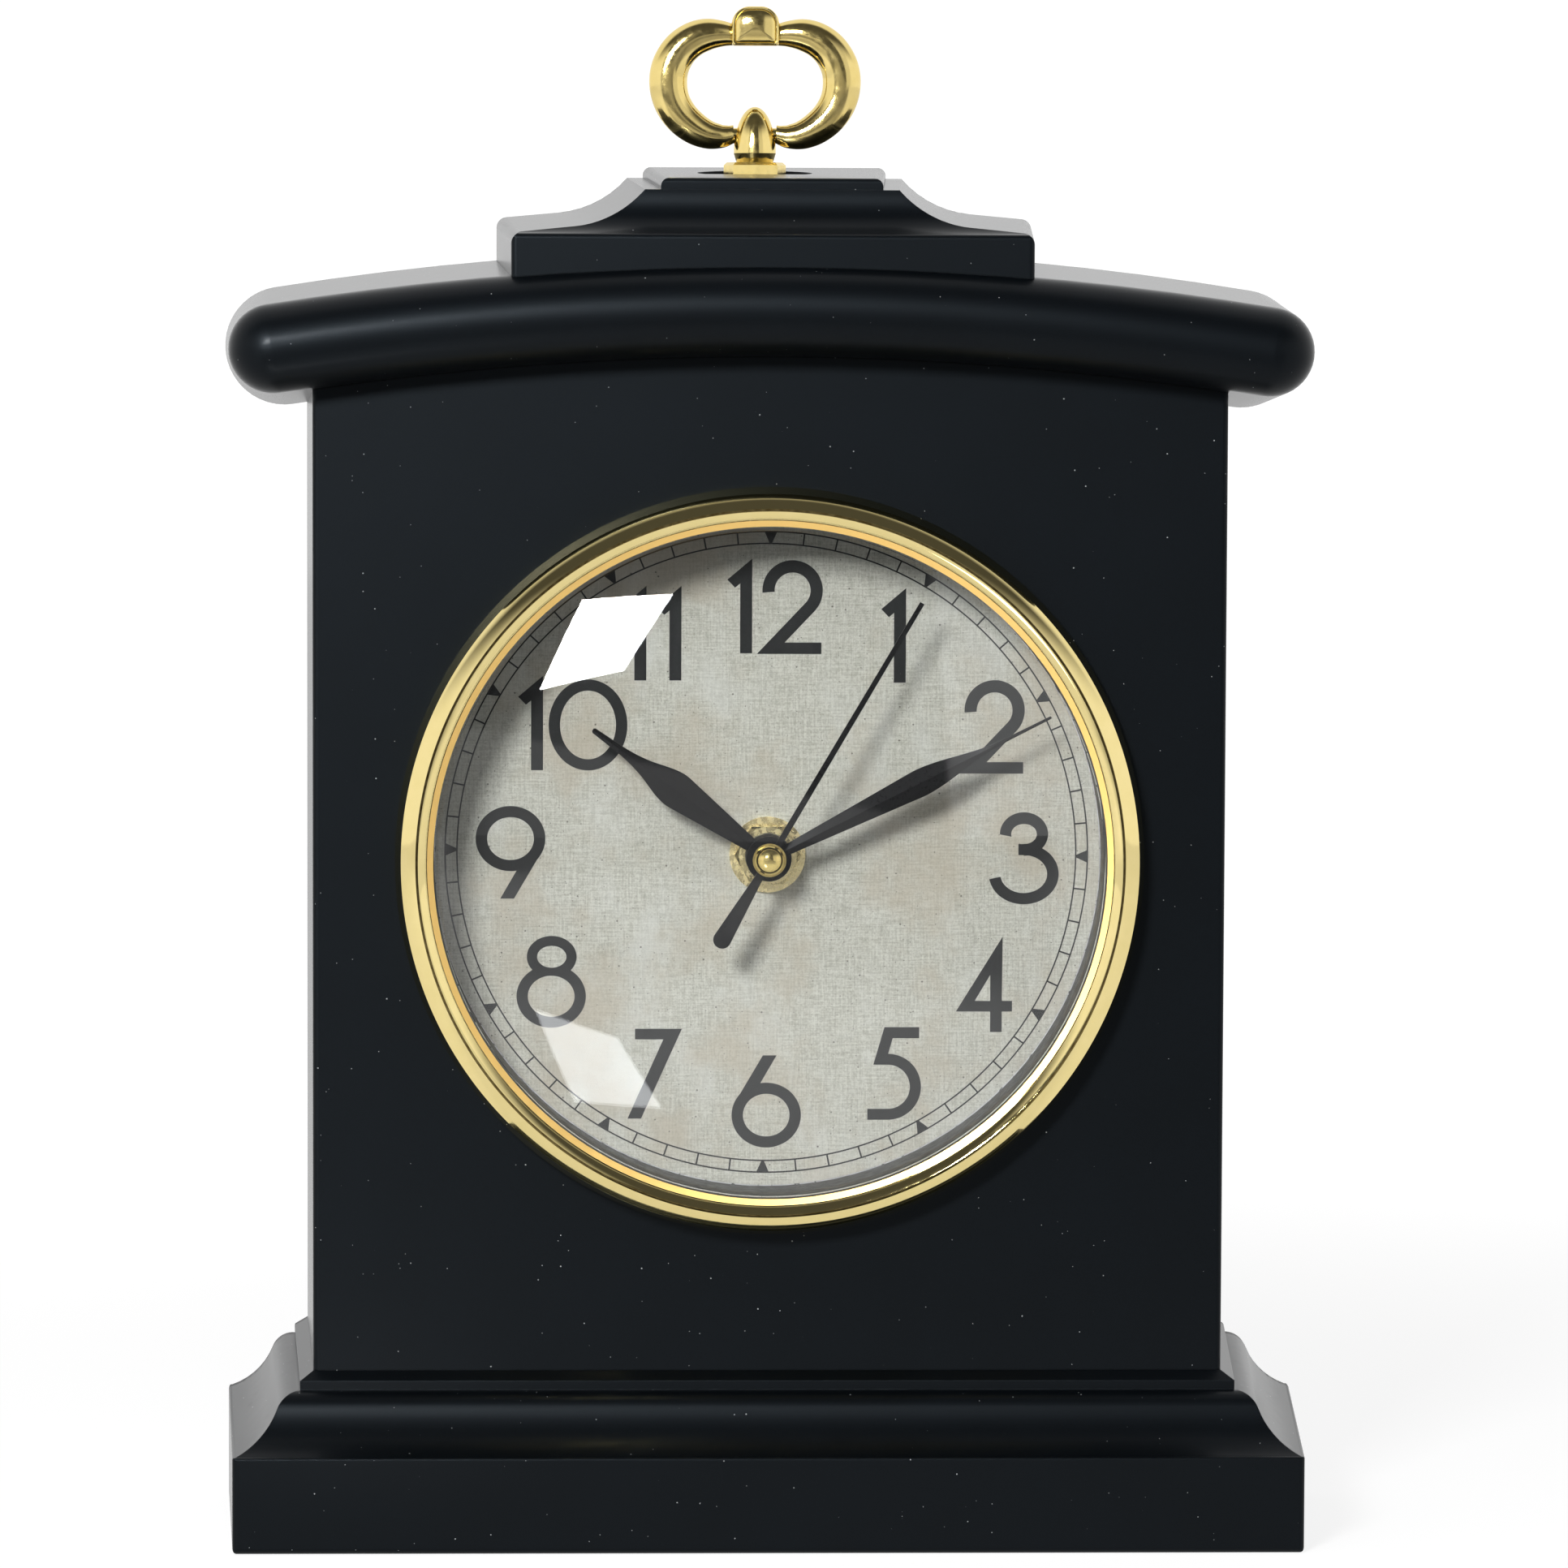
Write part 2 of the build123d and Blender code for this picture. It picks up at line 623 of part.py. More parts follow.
cornice_boss_x = cornice_end - COVER_SCREW_INSET
cornice_boss_z = arch_centre + sqrt(CORNICE_RADIUS**2 - cornice_boss_x**2)
cornice_cover_spots = [(side * cornice_boss_x, cornice_boss_z) for side in (-1, 1)]
peg_spots = [(side * PEG_SPREAD, PEG_Y) for side in (-1, 1)]


def make_cornice(solid):
    """Arched bullnose, hollow and open at the back."""
    room = loft([cornice_section(nose_y, WALL), cornice_section(case_back, WALL)], ruled=True)
    shell = solid - room
    for x, z in cornice_cover_spots:
        shell += rod(BOSS_RADIUS, nose_y - BOSS_SINK, shell_back, x, z)
        shell -= rod(SCREW_RADIUS + SEAT_GAP, shell_back - COVER_SCREW_LENGTH, shell_back, x, z)
    for x, y in cornice_screw_spots:
        radius = CORNICE_RADIUS - cornice_half(y)
        floor = arch_centre + sqrt(radius**2 - x**2)
        shell += upright(BOSS_RADIUS, floor + WALL / 2, floor + 2 * WALL, x, y)
        shell -= upright(SCREW_RADIUS + SEAT_GAP, cornice_seat, floor + 2 * WALL, x, y)
    for x, y in peg_spots:
        shell -= upright(PEG_RADIUS + SEAT_GAP, crown - WALL, crown + CASE_DEPTH, x, y)
    return shell


def pediment_section(y):
    """Block, ogee and pad seen from the front at depth y."""
    spread = DRAFT * (y - pediment_front)
    half = pediment_half + spread
    foot = crown - CORNICE_THICKNESS / 2
    flat_end = (half - OGEE_FLAT, block_top + OGEE_FLAT_RISE + spread)
    ledge_end = (pad_half + LEDGE_WIDTH + spread, ledge_level + spread)
    pad_corner = (pad_half + spread, pad_top + spread)
    half_edges = [
        Line((0, foot), (half, foot)),
        Line((half, foot), (half, block_top + spread)),
        Line((half, block_top + spread), flat_end),
        TangentArc(flat_end, ledge_end, tangent=(-OGEE_FLAT, OGEE_FLAT_RISE)),
        Line(ledge_end, (pad_corner[0], ledge_end[1])),
        Line((pad_corner[0], ledge_end[1]), pad_corner),
        Line(pad_corner, (0, pad_corner[1])),
    ]
    face = rounded(mirrored_face(half_edges), (half, block_top + spread), BLOCK_CORNER)
    return front_plane(y) * rounded(face, pad_corner, PAD_CORNER)


def pediment_front_outline():
    """Block, cove and pad seen from the side."""
    def level(height, y):
        return height + DRAFT * (y - pediment_front)

    foot = crown - CORNICE_THICKNESS / 2
    cove_foot = (cove_front, block_top)
    cove_head = (cove_back, level(ledge_level, cove_back))
    diagonal = sqrt(0.5)
    cove_middle = (
        cove_foot[0] + diagonal * FRONT_COVE,
        cove_head[1] - diagonal * (cove_head[1] - cove_foot[1]),
    )
    pad_foot = (pad_front, level(ledge_level, pad_front))
    pad_edge = (pad_front, level(pad_top, pad_front))
    face = make_face([
        Line((pediment_front, foot), (pediment_front, block_top)),
        Line((pediment_front, block_top), cove_foot),
        ThreePointArc(cove_foot, cove_middle, cove_head),
        Line(cove_head, pad_foot),
        Line(pad_foot, pad_edge),
        Line(pad_edge, (shell_back, level(pad_top, shell_back))),
        Line((shell_back, level(pad_top, shell_back)), (shell_back, foot)),
        Line((shell_back, foot), (pediment_front, foot)),
    ])
    return rounded(rounded(face, (pediment_front, block_top), FRONT_ROUND), pad_edge, FRONT_ROUND)


def pad_underside(y):
    """Level of the pad's inside face at depth y."""
    return pad_top - WALL + DRAFT * (y - pad_front - WALL)


def make_pediment(cornice):
    """Stepped cap over the cornice, hollow, with two locating pegs."""
    sides = loft([pediment_section(pediment_front), pediment_section(shell_back)], ruled=True)
    solid = sides & extrude(Plane.YZ * pediment_front_outline(), amount=PEDIMENT_WIDTH, both=True)
    solid = solid & plan_block(pediment_half, pediment_front, pad_top + CASE_DEPTH)
    foot = crown - CORNICE_THICKNESS
    block_room = drafted_room(pediment_half - WALL, foot, block_top - WALL, pediment_front + WALL, case_back)
    pad_room = drafted_room(pad_half - WALL, foot, pad_top - WALL, pad_front + WALL, case_back)
    shell = solid - cornice - block_room - pad_room
    for x, y in peg_spots:
        ceiling = block_top + DRAFT * (y - pediment_front)
        shell += upright(PEG_RADIUS, crown - WALL, ceiling - WALL / 2, x, y)
    shell -= upright(FOOT_WIDTH, foot_level, foot_level + FOOT_WIDTH, HANDLE_OFFSET, HANDLE_Y)
    shell -= upright(STUD_RADIUS + SEAT_GAP, foot_level - STUD_LENGTH, foot_level, HANDLE_OFFSET, HANDLE_Y)
    return shell


def cover_blank():
    """A plate with the joint outline of the four shells at the back."""
    blank = extrude(base_section(shell_back), amount=-COVER_THICKNESS)
    blank += extrude(body_section(shell_back, 0), amount=-COVER_THICKNESS)
    blank += extrude(cornice_section(shell_back, 0), amount=-COVER_THICKNESS)
    blank += extrude(pediment_section(shell_back), amount=-COVER_THICKNESS)
    return blank


cover_spots = base_cover_spots + body_cover_spots + cornice_cover_spots


def make_back_cover():
    """Flat plate over the whole back, with the window that reaches the movement."""
    plate = cover_blank()
    plate -= block(WINDOW_SIZE, WINDOW_SIZE, shell_back, case_back, z=dial_height)
    for x, z in cover_spots:
        plate -= rod(SCREW_RADIUS + SEAT_GAP, shell_back, case_back, x, z)
    return plate


def make_back_cover_screws():
    return Compound(children=[
        screw_y(x, z, case_back, COVER_SCREW_LENGTH, SCREW_RADIUS, SCREW_HEAD_RADIUS, SCREW_HEAD_HEIGHT)
        for x, z in cover_spots
    ])


def make_base_screws():
    return Compound(children=[screw_up(x, y, base_seat, JOIN_SCREW_LENGTH) for x, y in base_screw_spots])


def make_cornice_screws():
    screws = []
    for x, y in cornice_screw_spots:
        radius = CORNICE_RADIUS - cornice_half(y)
        floor = arch_centre + sqrt(radius**2 - x**2)
        screws.append(screw_up(x, y, cornice_seat, floor + 2 * WALL - cornice_seat))
    return Compound(children=screws)


# Handle


def make_handle_post():
    """Bullet-shaped knuckle on a faceted foot, with the stud that goes through the pad."""
    neck_top = FOOT_RISE + NECK_RISE
    outline = [
        Line((0, 0), (NECK_RADIUS, 0)),
        Line((NECK_RADIUS, 0), (NECK_RADIUS, FOOT_RISE)),
        Line((NECK_RADIUS, FOOT_RISE), (KNUCKLE_RADIUS, neck_top)),
        dome_edge(KNUCKLE_RADIUS, neck_top, KNUCKLE_RISE),
        Line((0, neck_top + KNUCKLE_RISE), (0, 0)),
    ]
    post = revolve(Plane.XZ * make_face(outline), Axis.Z)
    foot = extrude(RegularPolygon(FOOT_WIDTH / 2, FOOT_SIDES, major_radius=False), amount=FOOT_RISE)
    foot = chamfer(foot.edges().group_by(Axis.Z)[-1], FOOT_CHAMFER)
    post += foot
    post += upright(STUD_RADIUS, -STUD_LENGTH, 0, 0, 0)
    web_half = arm_end - PIVOT_DEPTH - PIVOT_END_GAP
    bore_depth = KNUCKLE_RADIUS - web_half
    for side in (-1, 1):
        place = Pos(side * (web_half + bore_depth / 2), 0, PIVOT_HEIGHT)
        post -= place * Rot(0, 90, 0) * Cylinder(PIVOT_RADIUS + RUNNING_FIT, bore_depth)
    return Pos(HANDLE_OFFSET, HANDLE_Y, foot_level) * post


def handle_arm():
    """One side of the loop, from inside the bead round to the knuckle."""
    start = (BEAD_WIDTH / 2 - BEAD_ROUND, BEAD_BOTTOM + ARM_START_WIDTH / 2)
    points = (start, *ARM_POINTS, (arm_end, 0))
    widths = (ARM_START_WIDTH, *ARM_WIDTHS, ARM_END_WIDTH)
    line = Spline(*points, tangents=((1, 0), (-1, 0)))
    placed_line = Plane.XZ * line
    sections = []
    for point, width in zip(points, widths):
        share = line.param_at_point(point)
        plane = Plane(origin=placed_line @ share, x_dir=(0, 1, 0), z_dir=placed_line % share)
        sections.append(plane * Ellipse(ARM_DEPTH_RATIO * width / 2, width / 2))
    arm = loft(sections)
    stub_length = PIVOT_DEPTH + STUB_OVERLAP
    stub_place = Pos(arm_end - PIVOT_DEPTH + stub_length / 2, 0, 0)
    return arm + stub_place * Rot(0, 90, 0) * Cylinder(PIVOT_RADIUS, stub_length)


def make_handle_loop():
    """Loop with a bead at the top, on two stubs that turn in the knuckle."""
    bead_face = Pos(0, (BEAD_BOTTOM + BEAD_TOP) / 2) * Rectangle(BEAD_WIDTH, BEAD_TOP - BEAD_BOTTOM)
    bead_face = fillet(bead_face.vertices().group_by(Axis.Y)[-1], BEAD_CROWN)
    bead = slab(bead_face, -BEAD_DEPTH / 2, BEAD_DEPTH / 2)
    bead = fillet(bead.faces().filter_by(Axis.Y).edges(), BEAD_ROUND)
    arm = handle_arm()
    loop = bead + arm + mirror(arm, about=Plane.YZ)
    return Pos(HANDLE_OFFSET, HANDLE_Y, pivot_level) * loop


def make_handle_nut():
    nut_reach = STUD_NUT_FLATS / sqrt(3)
    top = pad_underside(HANDLE_Y - nut_reach)
    face = RegularPolygon(STUD_NUT_FLATS / 2, NUT_SIDES, major_radius=False) - Circle(STUD_RADIUS + SEAT_GAP)
    return Pos(HANDLE_OFFSET, HANDLE_Y, top - STUD_NUT_THICKNESS) * extrude(face, amount=STUD_NUT_THICKNESS)


# Dial unit


def make_bezel():
    """Stepped ring: outer band, groove, bead, sloping inner band and the skirt behind."""
    band_outer = bezel_outer - BAND_SLOPE
    band_inner = band_outer - BAND_WIDTH
    ring_outer = band_inner - GROOVE_WIDTH
    ring_inner = ring_outer - RING_WIDTH
    flank_front = bezel_front + FLANK_SHARE * BEZEL_PROUD
    band_front = bezel_front + BAND_DROP
    band_edge = band_front + BAND_FALL
    groove = bezel_front + GROOVE_DEPTH
    inner_front = lens_front - INNER_EDGE
    skirt_back = wall_inside - SKIRT_END_GAP
    flank_middle = (bezel_outer - FLANK_BULGE, (flank_front + band_edge) / 2)
    band_middle = ((band_outer + band_inner) / 2, band_front)
    ring_middle = ((ring_outer + ring_inner) / 2, bezel_front)
    outline = [
        Line((bezel_outer, body_front), (bezel_outer, flank_front)),
        ThreePointArc((bezel_outer, flank_front), flank_middle, (band_outer, band_edge)),
        ThreePointArc((band_outer, band_edge), band_middle, (band_inner, band_front + BAND_CROWN)),
        Line((band_inner, band_front + BAND_CROWN), (band_inner, groove)),
        Line((band_inner, groove), (ring_outer, groove)),
        ThreePointArc((ring_outer, groove), ring_middle, (ring_inner, groove - RING_STEP)),
        Line((ring_inner, groove - RING_STEP), (dial_opening, inner_front)),
        Line((dial_opening, inner_front), (dial_opening, lens_front)),
        Line((dial_opening, lens_front), (skirt_inner, lens_front)),
        Line((skirt_inner, lens_front), (skirt_inner, skirt_back)),
        Line((skirt_inner, skirt_back), (skirt_outer, skirt_back)),
        Line((skirt_outer, skirt_back), (skirt_outer, body_front)),
        Line((skirt_outer, body_front), (bezel_outer, body_front)),
    ]
    return Pos(0, 0, dial_height) * revolve(make_face(outline), Axis.Y)


def make_lens():
    """Domed clear cover with a flat rim."""
    dome_rim = dial_opening - LENS_EDGE
    outer_radius = (dome_rim**2 + LENS_DOME**2) / (2 * LENS_DOME)
    apex = lens_front - LENS_DOME
    sphere_centre = apex + outer_radius
    inner_radius = outer_radius - LENS_THICKNESS
    inner_apex = apex + LENS_THICKNESS
    inner_edge = sqrt(inner_radius**2 - (sphere_centre - lens_back) ** 2)

    def dome_middle(radius, level):
        """Point halfway along the dome of this radius, from its apex to a level."""
        angle = asin(sqrt(radius**2 - (sphere_centre - level) ** 2) / radius) / 2
        return (radius * sin(angle), sphere_centre - radius * cos(angle))

    outline = [
        ThreePointArc((0, apex), dome_middle(outer_radius, lens_front), (dome_rim, lens_front)),
        Line((dome_rim, lens_front), (lens_rim, lens_front)),
        Line((lens_rim, lens_front), (lens_rim, lens_back)),
        Line((lens_rim, lens_back), (inner_edge, lens_back)),
        ThreePointArc((inner_edge, lens_back), dome_middle(inner_radius, lens_back), (0, inner_apex)),
        Line((0, inner_apex), (0, apex)),
    ]
    return Pos(0, 0, dial_height) * revolve(make_face(outline), Axis.Y)


def make_lens_gasket():
    ring = Circle(lens_rim) - Circle(cup_bore)
    return slab(Pos(0, dial_height) * ring, lens_back, cup_front)


plate_screw_radius = cup_outer + CUP_REAR_FLANGE / 2
plate_screw_spots = [
    (plate_screw_radius * cos(radians(angle)), dial_height + plate_screw_radius * sin(radians(angle)))
    for angle in PLATE_SCREW_ANGLES
]


def make_dial_cup():
    """Tube between the bezel and the dial, with a flange for the case and one for the dial plate."""
    flange_back = wall_inside + CUP_FLANGE_THICKNESS
    rear_front = cup_back - CUP_FLANGE_THICKNESS
    cup = turned([
        (cup_bore, cup_front),
        (cup_outer, cup_front),
        (cup_outer, wall_inside),
        (cup_outer + CUP_FLANGE, wall_inside),
        (cup_outer + CUP_FLANGE, flange_back),
        (cup_outer, flange_back),
        (cup_outer, rear_front),
        (plate_radius, rear_front),
        (plate_radius, cup_back),
        (cup_bore, cup_back),
    ], z=dial_height)
    for x, z in cup_screw_spots:
        cup -= rod(SMALL_SCREW_RADIUS + SEAT_GAP, wall_inside, flange_back, x, z)
    for x, z in plate_screw_spots:
        cup -= rod(SMALL_SCREW_RADIUS + SEAT_GAP, rear_front, cup_back, x, z)
    return cup


def make_dial_cup_screws():
    flange_back = wall_inside + CUP_FLANGE_THICKNESS
    length = CUP_FLANGE_THICKNESS + CUP_SCREW_BITE
    return Compound(children=[
        screw_y(x, z, flange_back, length, SMALL_SCREW_RADIUS, SMALL_HEAD_RADIUS, SMALL_HEAD_HEIGHT)
        for x, z in cup_screw_spots
    ])


def make_dial_plate():
    plate = rod(plate_radius, cup_back, plate_back, z=dial_height)
    plate -= rod(BUSHING_RADIUS + SLIP_GAP, cup_back, plate_back, z=dial_height)
    for x, z in plate_screw_spots:
        plate -= rod(SMALL_SCREW_RADIUS + SEAT_GAP, cup_back, plate_back, x, z)
    return plate


def make_dial_plate_screws():
    length = DIAL_PLATE_THICKNESS + CUP_FLANGE_THICKNESS
    return Compound(children=[
        screw_y(x, z, plate_back, length, SMALL_SCREW_RADIUS, SMALL_HEAD_RADIUS, SMALL_HEAD_HEIGHT)
        for x, z in plate_screw_spots
    ])


def washer(radius, front, back):
    """A flat ring on the bushing."""
    return slab(Pos(0, dial_height) * (Circle(radius) - Circle(BUSHING_RADIUS + SLIP_GAP)), front, back)


def make_dial_face():
    return washer(cup_bore - SLIP_GAP, dial_front, cup_back)


def make_rubber_washer():
    return washer(RUBBER_RADIUS, plate_back, movement_front)


def make_fixing_washer():
    return washer(WASHER_RADIUS, dial_front - WASHER_THICKNESS, dial_front)


def make_fixing_nut():
    back = dial_front - WASHER_THICKNESS
    face = RegularPolygon(NUT_FLATS / 2, NUT_SIDES, major_radius=False) - Circle(BUSHING_RADIUS + SEAT_GAP)
    nut = slab(face, back - NUT_THICKNESS, back)
    cone_reach = NUT_FLATS / 2 + NUT_THICKNESS
    front = back - NUT_THICKNESS
    cone = turned([(0, front), (NUT_FLATS / 2, front), (cone_reach, back), (0, back)])
    return Pos(0, 0, dial_height) * (nut & cone)


# Hands


def clockwise(shape, angle):
    """Turn a piece drawn at twelve o'clock to its place on the dial."""
    return Pos(0, 0, dial_height) * Rot(0, angle, 0) * shape


def leaf_face(length, widths):
    """Leaf-shaped blade along +Z: a straight taper, a curved shoulder and a needle."""
    points = [Vector(width / 2, share * length) for width, share in zip(widths, LEAF_SHARES)]
    belly_direction = points[1] - points[0]
    needle_direction = points[-1] - points[-2]
    half_edges = [
        Line((0, 0), points[0]),
        Line(points[0], points[1]),
        Spline(*points[1:-1], tangents=(belly_direction.normalized(), needle_direction.normalized())),
        Line(points[-2], points[-1]),
        Line(points[-1], (0, length)),
    ]
    return mirrored_face(half_edges)


def make_hour_hand():
    back = dial_front - HOUR_HAND_HEIGHT
    face = leaf_face(hour_hand_length, HOUR_HAND_WIDTHS) + Circle(HUB_RADIUS)
    face -= Circle(HOUR_PIPE_RADIUS + SEAT_GAP)
    return clockwise(slab(face, back - HAND_THICKNESS, back), HOUR_ANGLE)


def make_minute_hand():
    back = dial_front - MINUTE_HAND_HEIGHT
    face = leaf_face(minute_hand_length, MINUTE_HAND_WIDTHS) + Circle(HUB_RADIUS)
    face -= Circle(MINUTE_TUBE_RADIUS + SEAT_GAP)
    return clockwise(slab(face, back - HAND_THICKNESS, back), MINUTE_ANGLE)


def make_second_hand():
    """Slim pointer with a widening tail and a collet behind it."""
    back = dial_front - SECOND_HAND_HEIGHT
    blade = make_face(Polyline(
        (-SECOND_HAND_WIDTH / 2, 0),
        (-SECOND_TIP_WIDTH / 2, second_hand_length),
        (SECOND_TIP_WIDTH / 2, second_hand_length),
        (SECOND_HAND_WIDTH / 2, 0),
        close=True,
    ))
    tail_round = TAIL_END_WIDTH / 2
    tail_end = -TAIL_LENGTH + tail_round
    tail = make_face(Polyline(
        (-TAIL_WIDTH / 2, 0),
        (-tail_round, tail_end),
        (tail_round, tail_end),
        (TAIL_WIDTH / 2, 0),
        close=True,
    ))
    face = blade + tail + Pos(0, tail_end) * Circle(tail_round) + Circle(CAP_RADIUS)
    hand = slab(face, back - HAND_THICKNESS, back) + rod(COLLET_RADIUS, back, back + COLLET_LENGTH)
    hand -= rod(SECOND_ARBOR_RADIUS + SEAT_GAP, back - HAND_THICKNESS, back + COLLET_LENGTH)
    return clockwise(hand, SECOND_ANGLE)


def make_second_hand_cap():
    """Gold dome with a small flange, pushed on the front of the second hand."""
    back = dial_front - SECOND_HAND_HEIGHT - HAND_THICKNESS
    flange_front = back - CAP_FLANGE
    outline = [
        Line((0, back), (CAP_FLANGE_RADIUS, back)),
        Line((CAP_FLANGE_RADIUS, back), (CAP_FLANGE_RADIUS, flange_front)),
        Line((CAP_FLANGE_RADIUS, flange_front), (CAP_RADIUS, flange_front)),
        dome_edge(CAP_RADIUS, flange_front, -CAP_RISE),
        Line((0, flange_front - CAP_RISE), (0, back)),
    ]
    return Pos(0, 0, dial_height) * revolve(make_face(outline), Axis.Y)


# Gear train


def polar(distance, direction):
    """A step in X and Z, with the direction in degrees from +X towards +Z."""
    return Vector(distance * cos(radians(direction)), distance * sin(radians(direction)))


def mating_phase(phase, teeth, mate_teeth, direction):
    """Phase that puts the mate's gap on this gear's tooth along their line of centres."""
    turn = (direction - phase) * teeth / 360
    return direction + 180 - (0.5 - turn) * 360 / mate_teeth


third_distance = THIRD_MODULE * (SECOND_PINION_TEETH + THIRD_WHEEL_TEETH) / 2
centre_module = 2 * third_distance / (THIRD_PINION_TEETH + CENTRE_WHEEL_TEETH)
motion_distance = FINE_MODULE * (CANNON_PINION_TEETH + MOTION_WHEEL_TEETH) / 2
hour_module = 2 * motion_distance / (MOTION_PINION_TEETH + HOUR_WHEEL_TEETH)
intermediate_distance = SECOND_MODULE * (SECOND_WHEEL_TEETH + INTERMEDIATE_PINION_TEETH) / 2
rotor_distance = FINE_MODULE * (INTERMEDIATE_WHEEL_TEETH + ROTOR_PINION_TEETH) / 2
setting_distance = FINE_MODULE * (MOTION_WHEEL_TEETH + SETTING_PINION_TEETH) / 2
centre_spot = Vector(0, 0)
third_spot = polar(third_distance, THIRD_DIRECTION)
intermediate_spot = polar(intermediate_distance, INTERMEDIATE_DIRECTION)
rotor_spot = intermediate_spot + polar(rotor_distance, ROTOR_DIRECTION)
motion_spot = polar(motion_distance, MOTION_DIRECTION)
setting_spot = motion_spot + polar(setting_distance, SETTING_DIRECTION)

intermediate_pinion_phase = mating_phase(
    0, SECOND_WHEEL_TEETH, INTERMEDIATE_PINION_TEETH, INTERMEDIATE_DIRECTION
)
rotor_pinion_phase = mating_phase(0, INTERMEDIATE_WHEEL_TEETH, ROTOR_PINION_TEETH, ROTOR_DIRECTION)
third_wheel_phase = mating_phase(0, SECOND_PINION_TEETH, THIRD_WHEEL_TEETH, THIRD_DIRECTION)
centre_wheel_phase = mating_phase(0, THIRD_PINION_TEETH, CENTRE_WHEEL_TEETH, THIRD_DIRECTION + 180)
motion_wheel_phase = mating_phase(0, CANNON_PINION_TEETH, MOTION_WHEEL_TEETH, MOTION_DIRECTION)
hour_wheel_phase = mating_phase(0, MOTION_PINION_TEETH, HOUR_WHEEL_TEETH, MOTION_DIRECTION + 180)
setting_phase = mating_phase(motion_wheel_phase, MOTION_WHEEL_TEETH, SETTING_PINION_TEETH, SETTING_DIRECTION)

arbor_front = room_front - PIVOT_BORE_DEPTH + ARBOR_END_GAP
arbor_back = room_back + PIVOT_BORE_DEPTH - ARBOR_END_GAP


def gear_face(teeth, module, phase):
    """Spur gear outline with slim straight-sided teeth."""
    root = module * (teeth / 2 - TOOTH_DEDENDUM)
    tip = module * (teeth / 2 + TOOTH_ADDENDUM)
    pitch = 360 / teeth
    points = []
    for tooth in range(teeth):
        middle = phase + tooth * pitch
        points += [
            polar(root, middle - TOOTH_ROOT_SHARE * pitch / 2),
            polar(tip, middle - TOOTH_TIP_SHARE * pitch / 2),
            polar(tip, middle + TOOTH_TIP_SHARE * pitch / 2),
            polar(root, middle + TOOTH_ROOT_SHARE * pitch / 2),
        ]
    return make_face(Polyline(*points, close=True))


def gear(teeth, module, phase, layer, spot):
    """A gear in its layer of the movement."""
    front = movement_front + layer
    return slab(at(spot) * gear_face(teeth, module, phase), front, front + WHEEL_THICKNESS)


def at(spot):
    """Place of a point of the movement, measured from the hand axis."""
    return Pos(spot.X, dial_height + spot.Y)


def arbor(radius, front, back, spot):
    """A round shaft of the movement."""
    return slab(at(spot) * Circle(radius), front, back)


def make_rotor():
    magnet_back = movement_front + rotor_layer - MAGNET_GAP
    rotor = arbor(ARBOR_RADIUS, arbor_front, arbor_back, rotor_spot)
    rotor += gear(ROTOR_PINION_TEETH, FINE_MODULE, rotor_pinion_phase, rotor_layer, rotor_spot)
    return rotor + arbor(MAGNET_RADIUS, magnet_back - MAGNET_LENGTH, magnet_back, rotor_spot)


def make_intermediate_wheel():
    wheel = arbor(ARBOR_RADIUS, arbor_front, arbor_back, intermediate_spot)
    wheel += gear(
        INTERMEDIATE_PINION_TEETH, SECOND_MODULE, intermediate_pinion_phase, second_layer, intermediate_spot
    )
    return wheel + gear(INTERMEDIATE_WHEEL_TEETH, FINE_MODULE, 0, rotor_layer, intermediate_spot)


def make_second_wheel():
    tip = dial_front - SECOND_HAND_HEIGHT - HAND_THICKNESS
    wheel = arbor(SECOND_ARBOR_RADIUS, tip, arbor_back, centre_spot)
    wheel += gear(SECOND_PINION_TEETH, THIRD_MODULE, 0, third_layer, centre_spot)
    return wheel + gear(SECOND_WHEEL_TEETH, SECOND_MODULE, 0, second_layer, centre_spot)


def make_third_wheel():
    wheel = arbor(ARBOR_RADIUS, arbor_front, arbor_back, third_spot)
    wheel += gear(THIRD_PINION_TEETH, centre_module, 0, centre_layer, third_spot)
    return wheel + gear(THIRD_WHEEL_TEETH, THIRD_MODULE, third_wheel_phase, third_layer, third_spot)


def make_centre_wheel():
    """Rim that slips on the minute arbor when the hands are set."""
    front = movement_front + centre_layer
    wheel = gear(CENTRE_WHEEL_TEETH, centre_module, centre_wheel_phase, centre_layer, centre_spot)
    return wheel - arbor(MINUTE_TUBE_RADIUS + RUNNING_FIT, front, front + WHEEL_THICKNESS, centre_spot)


def make_minute_arbor():
    """Tube that carries the minute hand, with the cannon pinion."""
    tip = dial_front - MINUTE_HAND_HEIGHT - HAND_THICKNESS - TIP_PROUD
    back = movement_front + centre_layer + WHEEL_THICKNESS + TIP_PROUD
    tube = arbor(MINUTE_TUBE_RADIUS, tip, back, centre_spot)
    tube += gear(CANNON_PINION_TEETH, FINE_MODULE, 0, motion_layer, centre_spot)
    return tube - arbor(minute_bore, tip, back, centre_spot)


def make_motion_wheel():
    front = movement_front + hour_layer
    back = movement_front + motion_layer + WHEEL_THICKNESS
    pinion_face = gear_face(MOTION_PINION_TEETH, hour_module, 0)
    wheel = slab(at(motion_spot) * pinion_face, front, back)
    wheel += gear(MOTION_WHEEL_TEETH, FINE_MODULE, motion_wheel_phase, motion_layer, motion_spot)
    return wheel - arbor(MOTION_POST_RADIUS + RUNNING_FIT, front, back, motion_spot)


